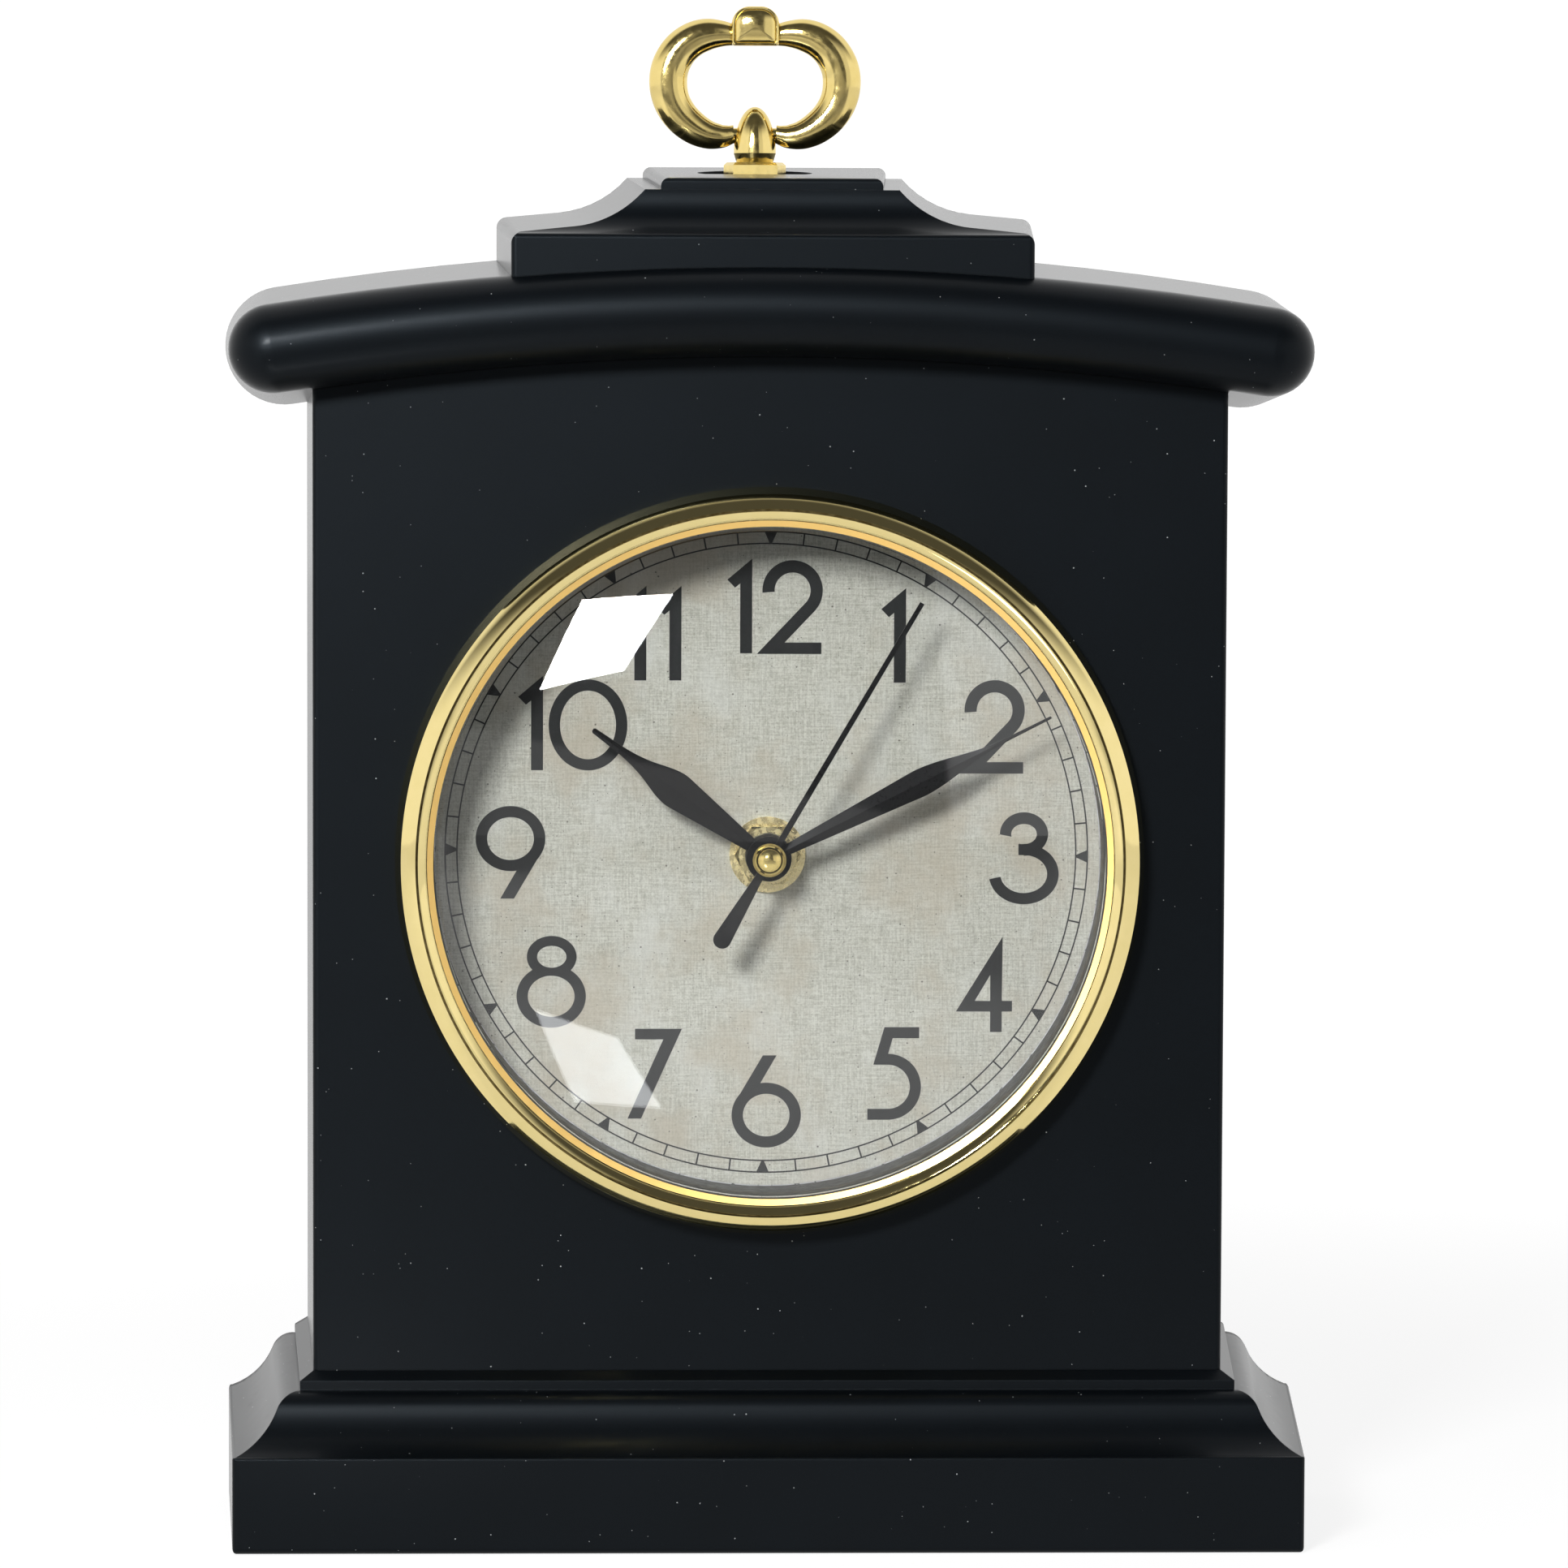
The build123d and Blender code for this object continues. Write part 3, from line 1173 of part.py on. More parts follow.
def make_hour_wheel():
    """Wheel with the pipe that carries the hour hand."""
    tip = dial_front - HOUR_HAND_HEIGHT - HAND_THICKNESS - TIP_PROUD
    back = movement_front + hour_layer + WHEEL_THICKNESS
    wheel = arbor(HOUR_PIPE_RADIUS, tip, back, centre_spot)
    wheel += gear(HOUR_WHEEL_TEETH, hour_module, hour_wheel_phase, hour_layer, centre_spot)
    return wheel - arbor(hour_bore, tip, back, centre_spot)


def make_setting_knob():
    """Knurled knob behind the movement, on the stem that turns the motion wheel."""
    knob_front = movement_back + KNOB_GAP
    knob = arbor(SETTING_STEM_RADIUS, arbor_front, knob_front, setting_spot)
    knob += gear(SETTING_PINION_TEETH, FINE_MODULE, setting_phase, motion_layer, setting_spot)
    knurl = at(setting_spot) * gear_face(KNOB_TEETH, KNOB_MODULE, 0)
    return knob + slab(knurl, knob_front, knob_front + KNOB_THICKNESS)


# Motor, board, battery and movement case

stator_front = movement_front + rotor_layer - MAGNET_GAP - MAGNET_LENGTH / 2 - STATOR_THICKNESS / 2
stator_back = stator_front + STATOR_THICKNESS
core_level = room_half - COIL_RADIUS - MAGNET_GAP
right_leg = rotor_spot.X + STATOR_SIDE / 2 - STATOR_LEG / 2
left_leg = right_leg - STATOR_LEG - COIL_LENGTH
yoke_level = rotor_spot.Y + STATOR_SIDE / 2 - STATOR_LEG / 2
stator_posts = (
    Vector(left_leg, yoke_level),
    Vector(rotor_spot.X + STATOR_SIDE / 2 - POST_RADIUS, rotor_spot.Y - STATOR_SIDE / 2 + POST_RADIUS),
)


def make_stator():
    """Flat iron frame round the rotor magnet, with the core that goes through the coil."""
    leg_bottom = yoke_level - STATOR_LEG / 2
    leg_height = core_level + CORE_HEIGHT / 2 - leg_bottom
    leg_middle = leg_bottom + leg_height / 2
    span = right_leg - left_leg
    middle = (right_leg + left_leg) / 2
    face = Pos(rotor_spot.X, rotor_spot.Y) * Rectangle(STATOR_SIDE, STATOR_SIDE)
    face += Pos(right_leg, leg_middle) * Rectangle(STATOR_LEG, leg_height)
    face += Pos(left_leg, leg_middle) * Rectangle(STATOR_LEG, leg_height)
    face += Pos(middle, yoke_level) * Rectangle(span, STATOR_LEG)
    face += Pos(middle, core_level) * Rectangle(span, CORE_HEIGHT)
    face -= Pos(rotor_spot.X, rotor_spot.Y) * Circle(MAGNET_RADIUS + MAGNET_GAP)
    return slab(Pos(0, dial_height) * face, stator_front, stator_back)


def make_coil():
    """Copper winding round the stator's core."""
    middle = (right_leg + left_leg) / 2
    stator_middle = (stator_front + stator_back) / 2
    core = Box(COIL_LENGTH, STATOR_THICKNESS + 2 * SEAT_GAP, CORE_HEIGHT + 2 * SEAT_GAP)
    coil = Rot(0, 90, 0) * Cylinder(COIL_RADIUS, COIL_LENGTH - 2 * SEAT_GAP) - core
    return Pos(middle, stator_middle, dial_height + core_level) * coil


board_back = room_back - BOARD_STANDOFF
board_front = board_back - BOARD_THICKNESS
board_spot = Vector(-room_half + BATTERY_GAP + BOARD_LENGTH / 2, room_bottom + BATTERY_GAP + BOARD_HEIGHT / 2)
board_posts = [board_spot + Vector(side * BOARD_POST_SHARE * BOARD_LENGTH, 0) for side in (-1, 1)]


def make_circuit_board():
    face = at(board_spot) * Rectangle(BOARD_LENGTH, BOARD_HEIGHT)
    return slab(face, board_front, board_back)


def make_quartz_crystal():
    can = Rot(0, 90, 0) * Cylinder(CRYSTAL_RADIUS, CRYSTAL_LENGTH)
    return Pos(board_spot.X, board_front - CRYSTAL_RADIUS, dial_height + board_spot.Y) * can


def make_battery():
    """AA cell lying along X with its nub to the left."""
    body = Pos(BATTERY_NUB_LENGTH / 2, 0, 0) * Rot(0, 90, 0) * Cylinder(BATTERY_RADIUS, BATTERY_LENGTH)
    nub_x = -battery_span / 2 + BATTERY_NUB_LENGTH / 2
    nub = Pos(nub_x, 0, 0) * Rot(0, 90, 0) * Cylinder(BATTERY_NUB_RADIUS, BATTERY_NUB_LENGTH)
    return Pos(0, battery_y, dial_height + bay_centre) * (body + nub)


def contact(side):
    """Spring plate at one end of the battery bay."""
    x = side * (bay_half_length - CONTACT_THICKNESS / 2)
    z = dial_height + bay_centre
    return block(CONTACT_THICKNESS, CONTACT_WIDTH, bay_floor, movement_back - MOVEMENT_WALL, x, z)


def movement_rooms(front, back):
    """The gear room and the battery bay between two depths."""
    height = room_half - room_bottom
    room = block(2 * room_half, height, front, back, z=dial_height + room_bottom + height / 2)
    bay = block(2 * bay_half_length, 2 * bay_half_height, front, back, z=dial_height + bay_centre)
    return room + bay


pivot_spots = (rotor_spot, intermediate_spot, third_spot)


def make_movement_front_case():
    """Front half of the movement with the threaded bushing for the hands."""
    outline = RectangleRounded(MOVEMENT_SIZE, MOVEMENT_SIZE, MOVEMENT_CORNER)
    case = slab(at(centre_spot) * outline, movement_front, split_y) - movement_rooms(room_front, split_y)
    case += arbor(BUSHING_RADIUS, bushing_tip, room_front, centre_spot)
    case -= arbor(bushing_bore, bushing_tip, room_front, centre_spot)
    post_back = movement_front + motion_layer + WHEEL_THICKNESS + TIP_PROUD
    case += arbor(MOTION_POST_RADIUS, room_front, post_back, motion_spot)
    for spot in stator_posts:
        case += arbor(POST_RADIUS, room_front, stator_front, spot)
    for spot in pivot_spots:
        case -= arbor(ARBOR_RADIUS + RUNNING_FIT, room_front - PIVOT_BORE_DEPTH, room_front, spot)
    stem_bore = SETTING_STEM_RADIUS + RUNNING_FIT
    return case - arbor(stem_bore, room_front - PIVOT_BORE_DEPTH, room_front, setting_spot)


def make_movement_back_case():
    """Back half of the movement, open over the battery."""
    outline = RectangleRounded(MOVEMENT_SIZE, MOVEMENT_SIZE, MOVEMENT_CORNER)
    case = slab(at(centre_spot) * outline, split_y, movement_back) - movement_rooms(split_y, room_back)
    bay_level = dial_height + bay_centre
    case -= block(2 * bay_half_length, 2 * bay_half_height, split_y, movement_back, z=bay_level)
    for spot in board_posts:
        case += arbor(POST_RADIUS, board_back, room_back, spot)
    for spot in pivot_spots:
        case -= arbor(ARBOR_RADIUS + RUNNING_FIT, room_back, room_back + PIVOT_BORE_DEPTH, spot)
    case -= arbor(SECOND_ARBOR_RADIUS + RUNNING_FIT, room_back, room_back + PIVOT_BORE_DEPTH, centre_spot)
    return case - arbor(SETTING_STEM_RADIUS + RUNNING_FIT, room_back, movement_back, setting_spot)


def make_parts():
    """Every piece under the name of its node."""
    cornice = cornice_solid()
    return {
        "base": make_base(),
        "body": make_body(),
        "cornice": make_cornice(cornice),
        "pediment": make_pediment(cornice),
        "back_cover": make_back_cover(),
        "back_cover_screws": make_back_cover_screws(),
        "base_screws": make_base_screws(),
        "cornice_screws": make_cornice_screws(),
        "handle_post": make_handle_post(),
        "handle_loop": make_handle_loop(),
        "handle_nut": make_handle_nut(),
        "bezel": make_bezel(),
        "lens": make_lens(),
        "lens_gasket": make_lens_gasket(),
        "dial_cup": make_dial_cup(),
        "dial_cup_screws": make_dial_cup_screws(),
        "dial_plate": make_dial_plate(),
        "dial_plate_screws": make_dial_plate_screws(),
        "dial_face": make_dial_face(),
        "rubber_washer": make_rubber_washer(),
        "fixing_washer": make_fixing_washer(),
        "fixing_nut": make_fixing_nut(),
        "hour_hand": make_hour_hand(),
        "minute_hand": make_minute_hand(),
        "second_hand": make_second_hand(),
        "second_hand_cap": make_second_hand_cap(),
        "movement_front_case": make_movement_front_case(),
        "movement_back_case": make_movement_back_case(),
        "stator": make_stator(),
        "coil": make_coil(),
        "rotor": make_rotor(),
        "intermediate_wheel": make_intermediate_wheel(),
        "second_wheel": make_second_wheel(),
        "third_wheel": make_third_wheel(),
        "centre_wheel": make_centre_wheel(),
        "minute_arbor": make_minute_arbor(),
        "motion_wheel": make_motion_wheel(),
        "hour_wheel": make_hour_wheel(),
        "setting_knob": make_setting_knob(),
        "circuit_board": make_circuit_board(),
        "quartz_crystal": make_quartz_crystal(),
        "battery": make_battery(),
        "positive_contact": contact(-1),
        "negative_contact": contact(1),
    }


os.makedirs("parts", exist_ok=True)
for name, piece in make_parts().items():
    export_step(piece, f"parts/{name}.step")
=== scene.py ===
import json
from math import asin, cos, radians, sin, sqrt, tan, tau

import bmesh
import bpy
from mathutils import Matrix, Vector


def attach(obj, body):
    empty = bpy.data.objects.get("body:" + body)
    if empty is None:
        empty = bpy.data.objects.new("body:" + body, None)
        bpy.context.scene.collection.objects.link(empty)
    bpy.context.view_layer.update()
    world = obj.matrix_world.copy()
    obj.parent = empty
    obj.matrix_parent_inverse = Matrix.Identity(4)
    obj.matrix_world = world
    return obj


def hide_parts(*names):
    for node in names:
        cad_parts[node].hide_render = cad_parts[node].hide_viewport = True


# Mantel clock with a printed dial under a domed lens.
# The CAD frame is in metres, and sizes below are in millimetres.

MM = 0.001
IMAGE_SIZE = 1932

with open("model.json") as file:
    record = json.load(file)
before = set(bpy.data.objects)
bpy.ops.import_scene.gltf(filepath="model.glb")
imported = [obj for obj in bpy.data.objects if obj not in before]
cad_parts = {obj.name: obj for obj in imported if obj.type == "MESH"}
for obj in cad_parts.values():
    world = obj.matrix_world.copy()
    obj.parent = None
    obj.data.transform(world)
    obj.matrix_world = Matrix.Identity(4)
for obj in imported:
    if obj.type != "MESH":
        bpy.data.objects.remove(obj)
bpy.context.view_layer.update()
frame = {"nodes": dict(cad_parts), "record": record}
nodes = frame["nodes"]
joints = {joint["name"]: joint for joint in frame["record"]["behaviour"]["joints"]}

# Camera of the photograph
CAMERA_PLACE = (-37.678, -1252.788, 218.937)
CAMERA_YAW = 1.775
CAMERA_PITCH = 4.051
CAMERA_ROLL = 0.217
FOCAL_PIXELS = 8866.8
PRINCIPAL_POINT = (953.0, 966.9)
SENSOR_WIDTH = 36.0
NEAR_CLIP = 0.01
FAR_CLIP = 50

# Dial unit, from the CAD
DIAL_LEVEL = 118.3
DIAL_FRONT = -3.6
LENS_RADIUS = 188.18
LENS_CENTRE_DEPTH = 154.78
LENS_THICKNESS = 1.5
LENS_FRONT = -24.4
LENS_RIM = 60.1
LENS_RINGS = 28
TURN_STEPS = 240
TURNED_SHARP = 8

# Bezel, from the CAD: radii and depths of its rings
CASE_FRONT = -17.6
BEZEL_FRONT = -26.1
BEZEL_OUTER = 64.45
FLANK_FRONT = -20.0
BAND_OUTER = 63.35
BAND_INNER = 60.85
BAND_FRONT = -26.0
BEVEL_OUTER = 60.4
BEVEL_INNER = 59.0
GROOVE_DEPTH = -25.0
OPENING = 57.8
OPENING_FRONT = -24.8
SEAT_RADIUS = 60.15
SKIRT_OUTER = 62.15
SKIRT_BACK = -15.0
CREASE_WIDTH = 0.15
CREASE_GAP = 0.03
BAND_SLOPES = (24, 47)
BEVEL_SLOPES = (-20, -44)
PROFILE_STEPS = 10

# Handle loop, about the pivot of its joint. One arm is given as distance from the middle, height and
# width, read from the photograph, which makes it a little slimmer than in the CAD.
HANDLE_PLACE = tuple(part / MM for part in joints["handle_swing"]["pos_m"])
ARM_LINE = (
    (3.2, 16.9, 3.4), (5.6, 17.25, 4.5), (8.4, 17.1, 5.6), (11.0, 16.15, 6.1), (13.2, 14.3, 6.4),
    (14.7, 11.6, 6.6), (15.1, 8.6, 6.65), (14.5, 5.6, 6.45), (12.9, 2.95, 6.15), (10.6, 0.95, 5.7),
    (8.2, -0.2, 5.0), (6.0, -0.5, 4.2), (4.6, -0.3, 3.5), (3.75, -0.05, 3.0),
)
ARM_DEPTH_RATIO = 0.78
ARM_SPAN_STEPS = 6
ARM_ROUND_STEPS = 40
STUB_WIDTH = 1.9
STUB_END = 2.3
BEAD_WIDTH = 8.3
BEAD_BOTTOM = 15.15
BEAD_TOP = 21.96
BEAD_CROWN = 3.2
BEAD_FOOT_ROUND = 0.6
BEAD_CORNER_STEPS = 14
LOOP_SHARP = 32

# The bead's edge and cushion: share of its outline, and distance from its middle plane
BEAD_RINGS = (
    (1.0, 1.9), (0.99, 2.3), (0.96, 2.55), (0.92, 2.65), (0.87, 2.62), (0.835, 2.45), (0.82, 2.55),
    (0.76, 2.69), (0.66, 2.85), (0.54, 3.0), (0.42, 3.12), (0.3, 3.21), (0.18, 3.27), (0.07, 3.295),
)

# Hands, from the CAD, with a ridge along the middle of each blade
HAND_THICKNESS = 0.45
HAND_RIDGE = 0.2
HUB_RADIUS = 3.9
LEAF_SHARES = (0, 0.5, 0.54, 0.59, 0.64, 0.7, 0.77, 0.85, 1)
BLADE_STEPS = 6
BLADE_SIDES = 5
TIP_REACH = 0.3
TIP_SHARE = 0.5
HAND_SHARP = 4
HOUR_HAND = {
    "length": 37.3,
    "widths": (1.5, 6.1, 6.25, 5.65, 4.55, 3.15, 2.05, 1.4, 0.95),
    "height": 7.0,
    "bore": 2.5,
    "angle": 306.0,
}
MINUTE_HAND = {
    "length": 54.3,
    "widths": (1.5, 4.55, 4.75, 4.35, 3.5, 2.25, 1.05, 0.6, 0.45),
    "height": 9.6,
    "bore": 1.6,
    "angle": 63.2,
}

# Print on the dial
PRINT_CENTRE = (-0.11, 0.26)
PRINT_TURN = 0.55
INK_THICKNESS = 0.03
TRACK_OUTER = 55.95
TRACK_INNER = 53.65
TRACK_LINE = 0.25
TICK_WIDTH = 0.28
MARK_BASE = 2.1
MARK_TIP = 0.5
EDGE_RADIUS = 0.35
ARC_STEPS = 72
TRACK_STEPS = 240
GLYPH_SCALE = 1.004

# Lights. Cards show in what mirrors them, and lamps light what they reach.
KEY_CORNERS = ((-426, -1041, 667), (-208, -1089, 688), (-331, -1134, 505), (-533, -1078, 450))
KEY_STRENGTH = 130.0
KEY_LAMP = {"place": (-375, -1085, 578), "target": (0, 0, 120), "size": 0.24, "power": 12.5}
TABLE_GLEAM = ((-148, -248, 1), (-82, -218, 1), (-43, -145, 1), (-82, -142, 1))
GLEAM_STRENGTH = 5.5
FILL_LAMP = {"place": (-250, -560, 580), "target": (0, 0, 140), "size": 0.7, "power": 1.2}
FLOOR_REACH = 4000
FLOOR_DROP = 0.05


def at(x, y, z):
    """A point in millimetres as the frame's metres."""
    return Vector((x * MM, y * MM, z * MM))


# Camera


def aim_camera():
    yaw, pitch, roll = radians(CAMERA_YAW), radians(CAMERA_PITCH), radians(CAMERA_ROLL)
    ahead = Vector((sin(yaw) * cos(pitch), cos(yaw) * cos(pitch), -sin(pitch)))
    level_right = Vector((cos(yaw), -sin(yaw), 0))
    level_up = level_right.cross(ahead)
    right = cos(roll) * level_right + sin(roll) * level_up
    up = cos(roll) * level_up - sin(roll) * level_right
    data = bpy.data.cameras.new("camera")
    data.sensor_width = SENSOR_WIDTH
    data.lens = FOCAL_PIXELS / IMAGE_SIZE * SENSOR_WIDTH
    data.shift_x = (IMAGE_SIZE / 2 - PRINCIPAL_POINT[0]) / IMAGE_SIZE
    data.shift_y = (PRINCIPAL_POINT[1] - IMAGE_SIZE / 2) / IMAGE_SIZE
    data.clip_start = NEAR_CLIP
    data.clip_end = FAR_CLIP
    camera = bpy.data.objects.new("camera", data)
    turn = Matrix((right, up, -ahead)).transposed()
    camera.matrix_world = Matrix.Translation(at(*CAMERA_PLACE)) @ turn.to_4x4()
    bpy.context.collection.objects.link(camera)
    bpy.context.scene.camera = camera


# Materials


class Nodes:
    """An emptied node tree, with helpers that keep the node lists short."""

    def __init__(self, tree):
        self.tree = tree
        self.tree.nodes.clear()

    def add(self, kind, inputs=None, **settings):
        node = self.tree.nodes.new(kind)
        for key, value in settings.items():
            setattr(node, key, value)
        for key, value in (inputs or {}).items():
            self.feed(node.inputs[key], value)
        return node

    def feed(self, socket, value):
        if isinstance(value, bpy.types.NodeSocket):
            self.tree.links.new(value, socket)
        else:
            socket.default_value = value

    def math(self, operation, first, second=0.0):
        return self.add("ShaderNodeMath", {0: first, 1: second}, operation=operation).outputs[0]

    def spread(self, value, low, high, to_low=0.0, to_high=1.0):
        """Maps low..high to another range, smoothly and without going past it."""
        values = {"Value": value, "From Min": low, "From Max": high, "To Min": to_low, "To Max": to_high}
        return self.add("ShaderNodeMapRange", values, interpolation_type="SMOOTHSTEP").outputs[0]


class Paint(Nodes):
    """One node material, with its place in millimetres."""

    def __init__(self, name):
        self.material = bpy.data.materials.new(name)
        self.material.use_nodes = True
        super().__init__(self.material.node_tree)
        self.output = self.add("ShaderNodeOutputMaterial")
        place = self.add("ShaderNodeTexCoord").outputs["Object"]
        scaled = self.add("ShaderNodeVectorMath", {0: place, "Scale": 1 / MM}, operation="SCALE")
        self.place = scaled.outputs[0]

    def noise(self, scale, detail=3.0, roughness=0.5, stretch=(1, 1, 1)):
        """Noise whose scale is in cells per millimetre."""
        place = self.place
        if stretch != (1, 1, 1):
            place = self.add("ShaderNodeVectorMath", {0: place, 1: stretch}, operation="MULTIPLY").outputs[0]
        values = {"Vector": place, "Scale": scale, "Detail": detail, "Roughness": roughness}
        return self.add("ShaderNodeTexNoise", values).outputs["Fac"]

    def mix(self, share, first, second):
        node = self.add("ShaderNodeMix", data_type="RGBA")
        self.feed(node.inputs[0], share)
        for socket, value in ((node.inputs[6], first), (node.inputs[7], second)):
            self.feed(socket, value if isinstance(value, bpy.types.NodeSocket) else (*value, 1.0))
        return node.outputs[2]

    def specks(self, scale, size, share):
        """Small round specks: cells per millimetre, radius in cells and how many cells have one."""
        cells = self.add("ShaderNodeTexVoronoi", {"Vector": self.place, "Scale": scale})
        dot = self.spread(cells.outputs["Distance"], size, size * 0.6)
        chance = self.add("ShaderNodeSeparateColor", {0: cells.outputs["Color"]}).outputs[0]
        return self.math("MULTIPLY", dot, self.math("LESS_THAN", chance, share))

    def bump(self, height, strength, depth, normal=None):
        values = {"Height": height, "Strength": strength, "Distance": depth * MM}
        if normal is not None:
            values["Normal"] = normal
        return self.add("ShaderNodeBump", values).outputs[0]

    def edge_share(self, radius):
        """1 along the edges of a solid, 0 on its flat faces. Keeps the rounded normal as edge."""
        self.edge = self.add("ShaderNodeBevel", {"Radius": radius * MM}, samples=4).outputs[0]
        flat = self.add("ShaderNodeNewGeometry").outputs["Normal"]
        dot = self.add("ShaderNodeVectorMath", {0: flat, 1: self.edge}, operation="DOT_PRODUCT")
        return self.spread(self.math("SUBTRACT", 1.0, dot.outputs["Value"]), 0.02, 0.25)

    def finish(self, inputs):
        shader = self.add("ShaderNodeBsdfPrincipled", inputs)
        self.feed(self.output.inputs["Surface"], shader.outputs[0])
        return self.material


def case_plastic():
    """Satin blue-black moulding with a fine grain, a little dust, and paler edges that are partly wear and
    partly painted edge highlight.
    """
    paint = Paint("case_plastic")
    cloud = paint.math("ADD", paint.math("MULTIPLY", paint.noise(0.06, 4), 0.5), paint.noise(3.0, 3, 0.6))
    black = paint.mix(paint.spread(cloud, 0.5, 1.0), (0.0004, 0.0008, 0.0013), (0.0011, 0.0019, 0.0030))
    patches = paint.spread(paint.noise(0.5), 0.3, 0.7, 0.15, 0.6)
    # Paler edges: partly wear, partly a painted highlight along the rounded edges, lightened in the colour by
    # an edge mask.
    worn_and_highlit_edges = paint.math("MULTIPLY", paint.edge_share(EDGE_RADIUS), patches)
    edge_wear_and_highlight = paint.mix(worn_and_highlit_edges, black, (0.03, 0.033, 0.037))
    dust = paint.math("MAXIMUM", paint.specks(0.5, 0.07, 0.14), paint.specks(1.1, 0.10, 0.05))
    colour = paint.mix(dust, edge_wear_and_highlight, (0.36, 0.38, 0.39))
    grain = paint.noise(4.0, 2, 0.6)
    normal = paint.bump(grain, 0.10, 0.02, paint.edge)
    return paint.finish({
        "Base Color": colour,
        "Roughness": 0.44,
        "Normal": normal,
        "Specular IOR Level": 0.12,
        "Specular Tint": (0.76, 0.89, 1.0, 1.0),
        "Coat Weight": 1.0,
        "Coat Roughness": 0.22,
        "Coat IOR": 1.105,
    })


def moulded(name, tone, roughness):
    """Grained moulded plastic in one tone."""
    paint = Paint(name)
    low = tuple(0.75 * part for part in tone)
    high = tuple(1.3 * part for part in tone)
    colour = paint.mix(paint.noise(0.12, 4), low, high)
    dust = paint.specks(0.9, 0.09, 0.1)
    colour = paint.mix(dust, colour, (0.16, 0.16, 0.16))
    normal = paint.bump(paint.noise(2.5, 2), 0.045, 0.03)
    rough = paint.spread(paint.noise(0.6, 4), 0.3, 0.7, roughness - 0.05, roughness + 0.08)
    return paint.finish({
        "Base Color": colour,
        "Roughness": rough,
        "Normal": normal,
        "Specular IOR Level": 0.35,
    })


def metal(name, low, high, roughness, scratch=0.04):
    """Plated or plain metal with fine scratches and smudges."""
    paint = Paint(name)
    colour = paint.mix(paint.noise(0.35, 4), low, high)
    scratches = paint.noise(3.0, 2, 0.5, (0.15, 1, 1.6))
    normal = paint.bump(scratches, scratch, 0.01)
    rough = paint.spread(paint.noise(0.9, 5, 0.6), 0.3, 0.75, roughness * 0.7, roughness * 1.5)
    return paint.finish({"Base Color": colour, "Metallic": 1.0, "Roughness": rough, "Normal": normal})


def bezel_gold():
    """Polished gold plate with a satin ochre inner band and painted shade in the two creases."""
    paint = Paint("bezel_gold")
    axis = (0, 0, DIAL_LEVEL)
    from_axis = paint.add("ShaderNodeVectorMath", {0: paint.place, 1: axis}, operation="SUBTRACT")
    flat = paint.add("ShaderNodeVectorMath", {0: from_axis.outputs[0], 1: (1, 0, 1)}, operation="MULTIPLY")
    radius = paint.add("ShaderNodeVectorMath", {0: flat.outputs[0]}, operation="LENGTH").outputs["Value"]

    def between(low, high):
        above = paint.math("GREATER_THAN", radius, low)
        return paint.math("MULTIPLY", above, paint.math("LESS_THAN", radius, high))

    plate = paint.mix(paint.noise(0.35, 4), (0.80, 0.66, 0.28), (0.88, 0.73, 0.35))
    satin = paint.math("LESS_THAN", radius, BEVEL_INNER - CREASE_WIDTH)
    banded = paint.mix(satin, plate, (0.90, 0.60, 0.20))
    grooves = between(BEVEL_OUTER + CREASE_GAP, BAND_INNER - CREASE_GAP)
    creases = paint.math("MAXIMUM", grooves, between(BEVEL_INNER - CREASE_WIDTH, BEVEL_INNER))
    # Painted shade: the groove and the crease are darkened in the colour, with a little noise, where shade
    # falls in them.
    painted_crease_shade = paint.math("MULTIPLY", creases, paint.spread(paint.noise(0.8, 3), 0.3, 0.7, 0.75, 0.95))
    colour = paint.mix(painted_crease_shade, banded, (0.10, 0.06, 0.012))
    smudge = paint.spread(paint.noise(0.5, 5, 0.6), 0.35, 0.75, 0.04, 0.09)
    rough = paint.math("ADD", smudge, paint.math("MULTIPLY", satin, 0.38))
    normal = paint.bump(paint.noise(2.0, 3, 0.6), 0.02, 0.01)
    return paint.finish({"Base Color": colour, "Metallic": 1.0, "Roughness": rough, "Normal": normal})


def dial_paper():
    """Aged grey-beige paper printed with a linen weave, flecks, specks and faint stains."""
    paint = Paint("dial_paper")
    cross = paint.noise(2.8, 2, 0.6, (0.07, 1, 1.3))
    along = paint.noise(2.8, 2, 0.6, (1.3, 1, 0.07))
    weave = paint.math("MULTIPLY", paint.math("ADD", cross, along), 0.5)
    fine = paint.noise(3.2, 4, 0.7)
    cloth = paint.math("ADD", paint.math("MULTIPLY", weave, 0.55), paint.math("MULTIPLY", fine, 0.45))
    tone = paint.mix(paint.spread(cloth, 0.36, 0.62), (0.40, 0.395, 0.335), (0.67, 0.67, 0.60))
    beige = paint.spread(paint.noise(0.045, 4, 0.6), 0.46, 0.66, 0.0, 0.6)
    stained = paint.mix(beige, tone, (0.50, 0.44, 0.34))
    pale = paint.spread(paint.noise(0.05, 4, 0.6, (1.4, 1, 0.8)), 0.5, 0.72, 0.0, 0.5)
    faded = paint.mix(pale, stained, (0.70, 0.71, 0.67))
    flecks = paint.spread(paint.noise(1.7, 5, 0.75), 0.59, 0.72, 0.0, 0.5)
    flecked = paint.mix(flecks, faded, (0.25, 0.235, 0.20))
    specks = paint.math("MAXIMUM", paint.specks(0.45, 0.09, 0.6), paint.specks(0.9, 0.11, 0.6))
    colour = paint.mix(paint.math("MULTIPLY", specks, 0.8), flecked, (0.09, 0.085, 0.07))
    normal = paint.bump(weave, 0.25, 0.02)
    return paint.finish({
        "Base Color": colour,
        "Roughness": 0.8,
        "Normal": normal,
        "Specular IOR Level": 0.12,
    })


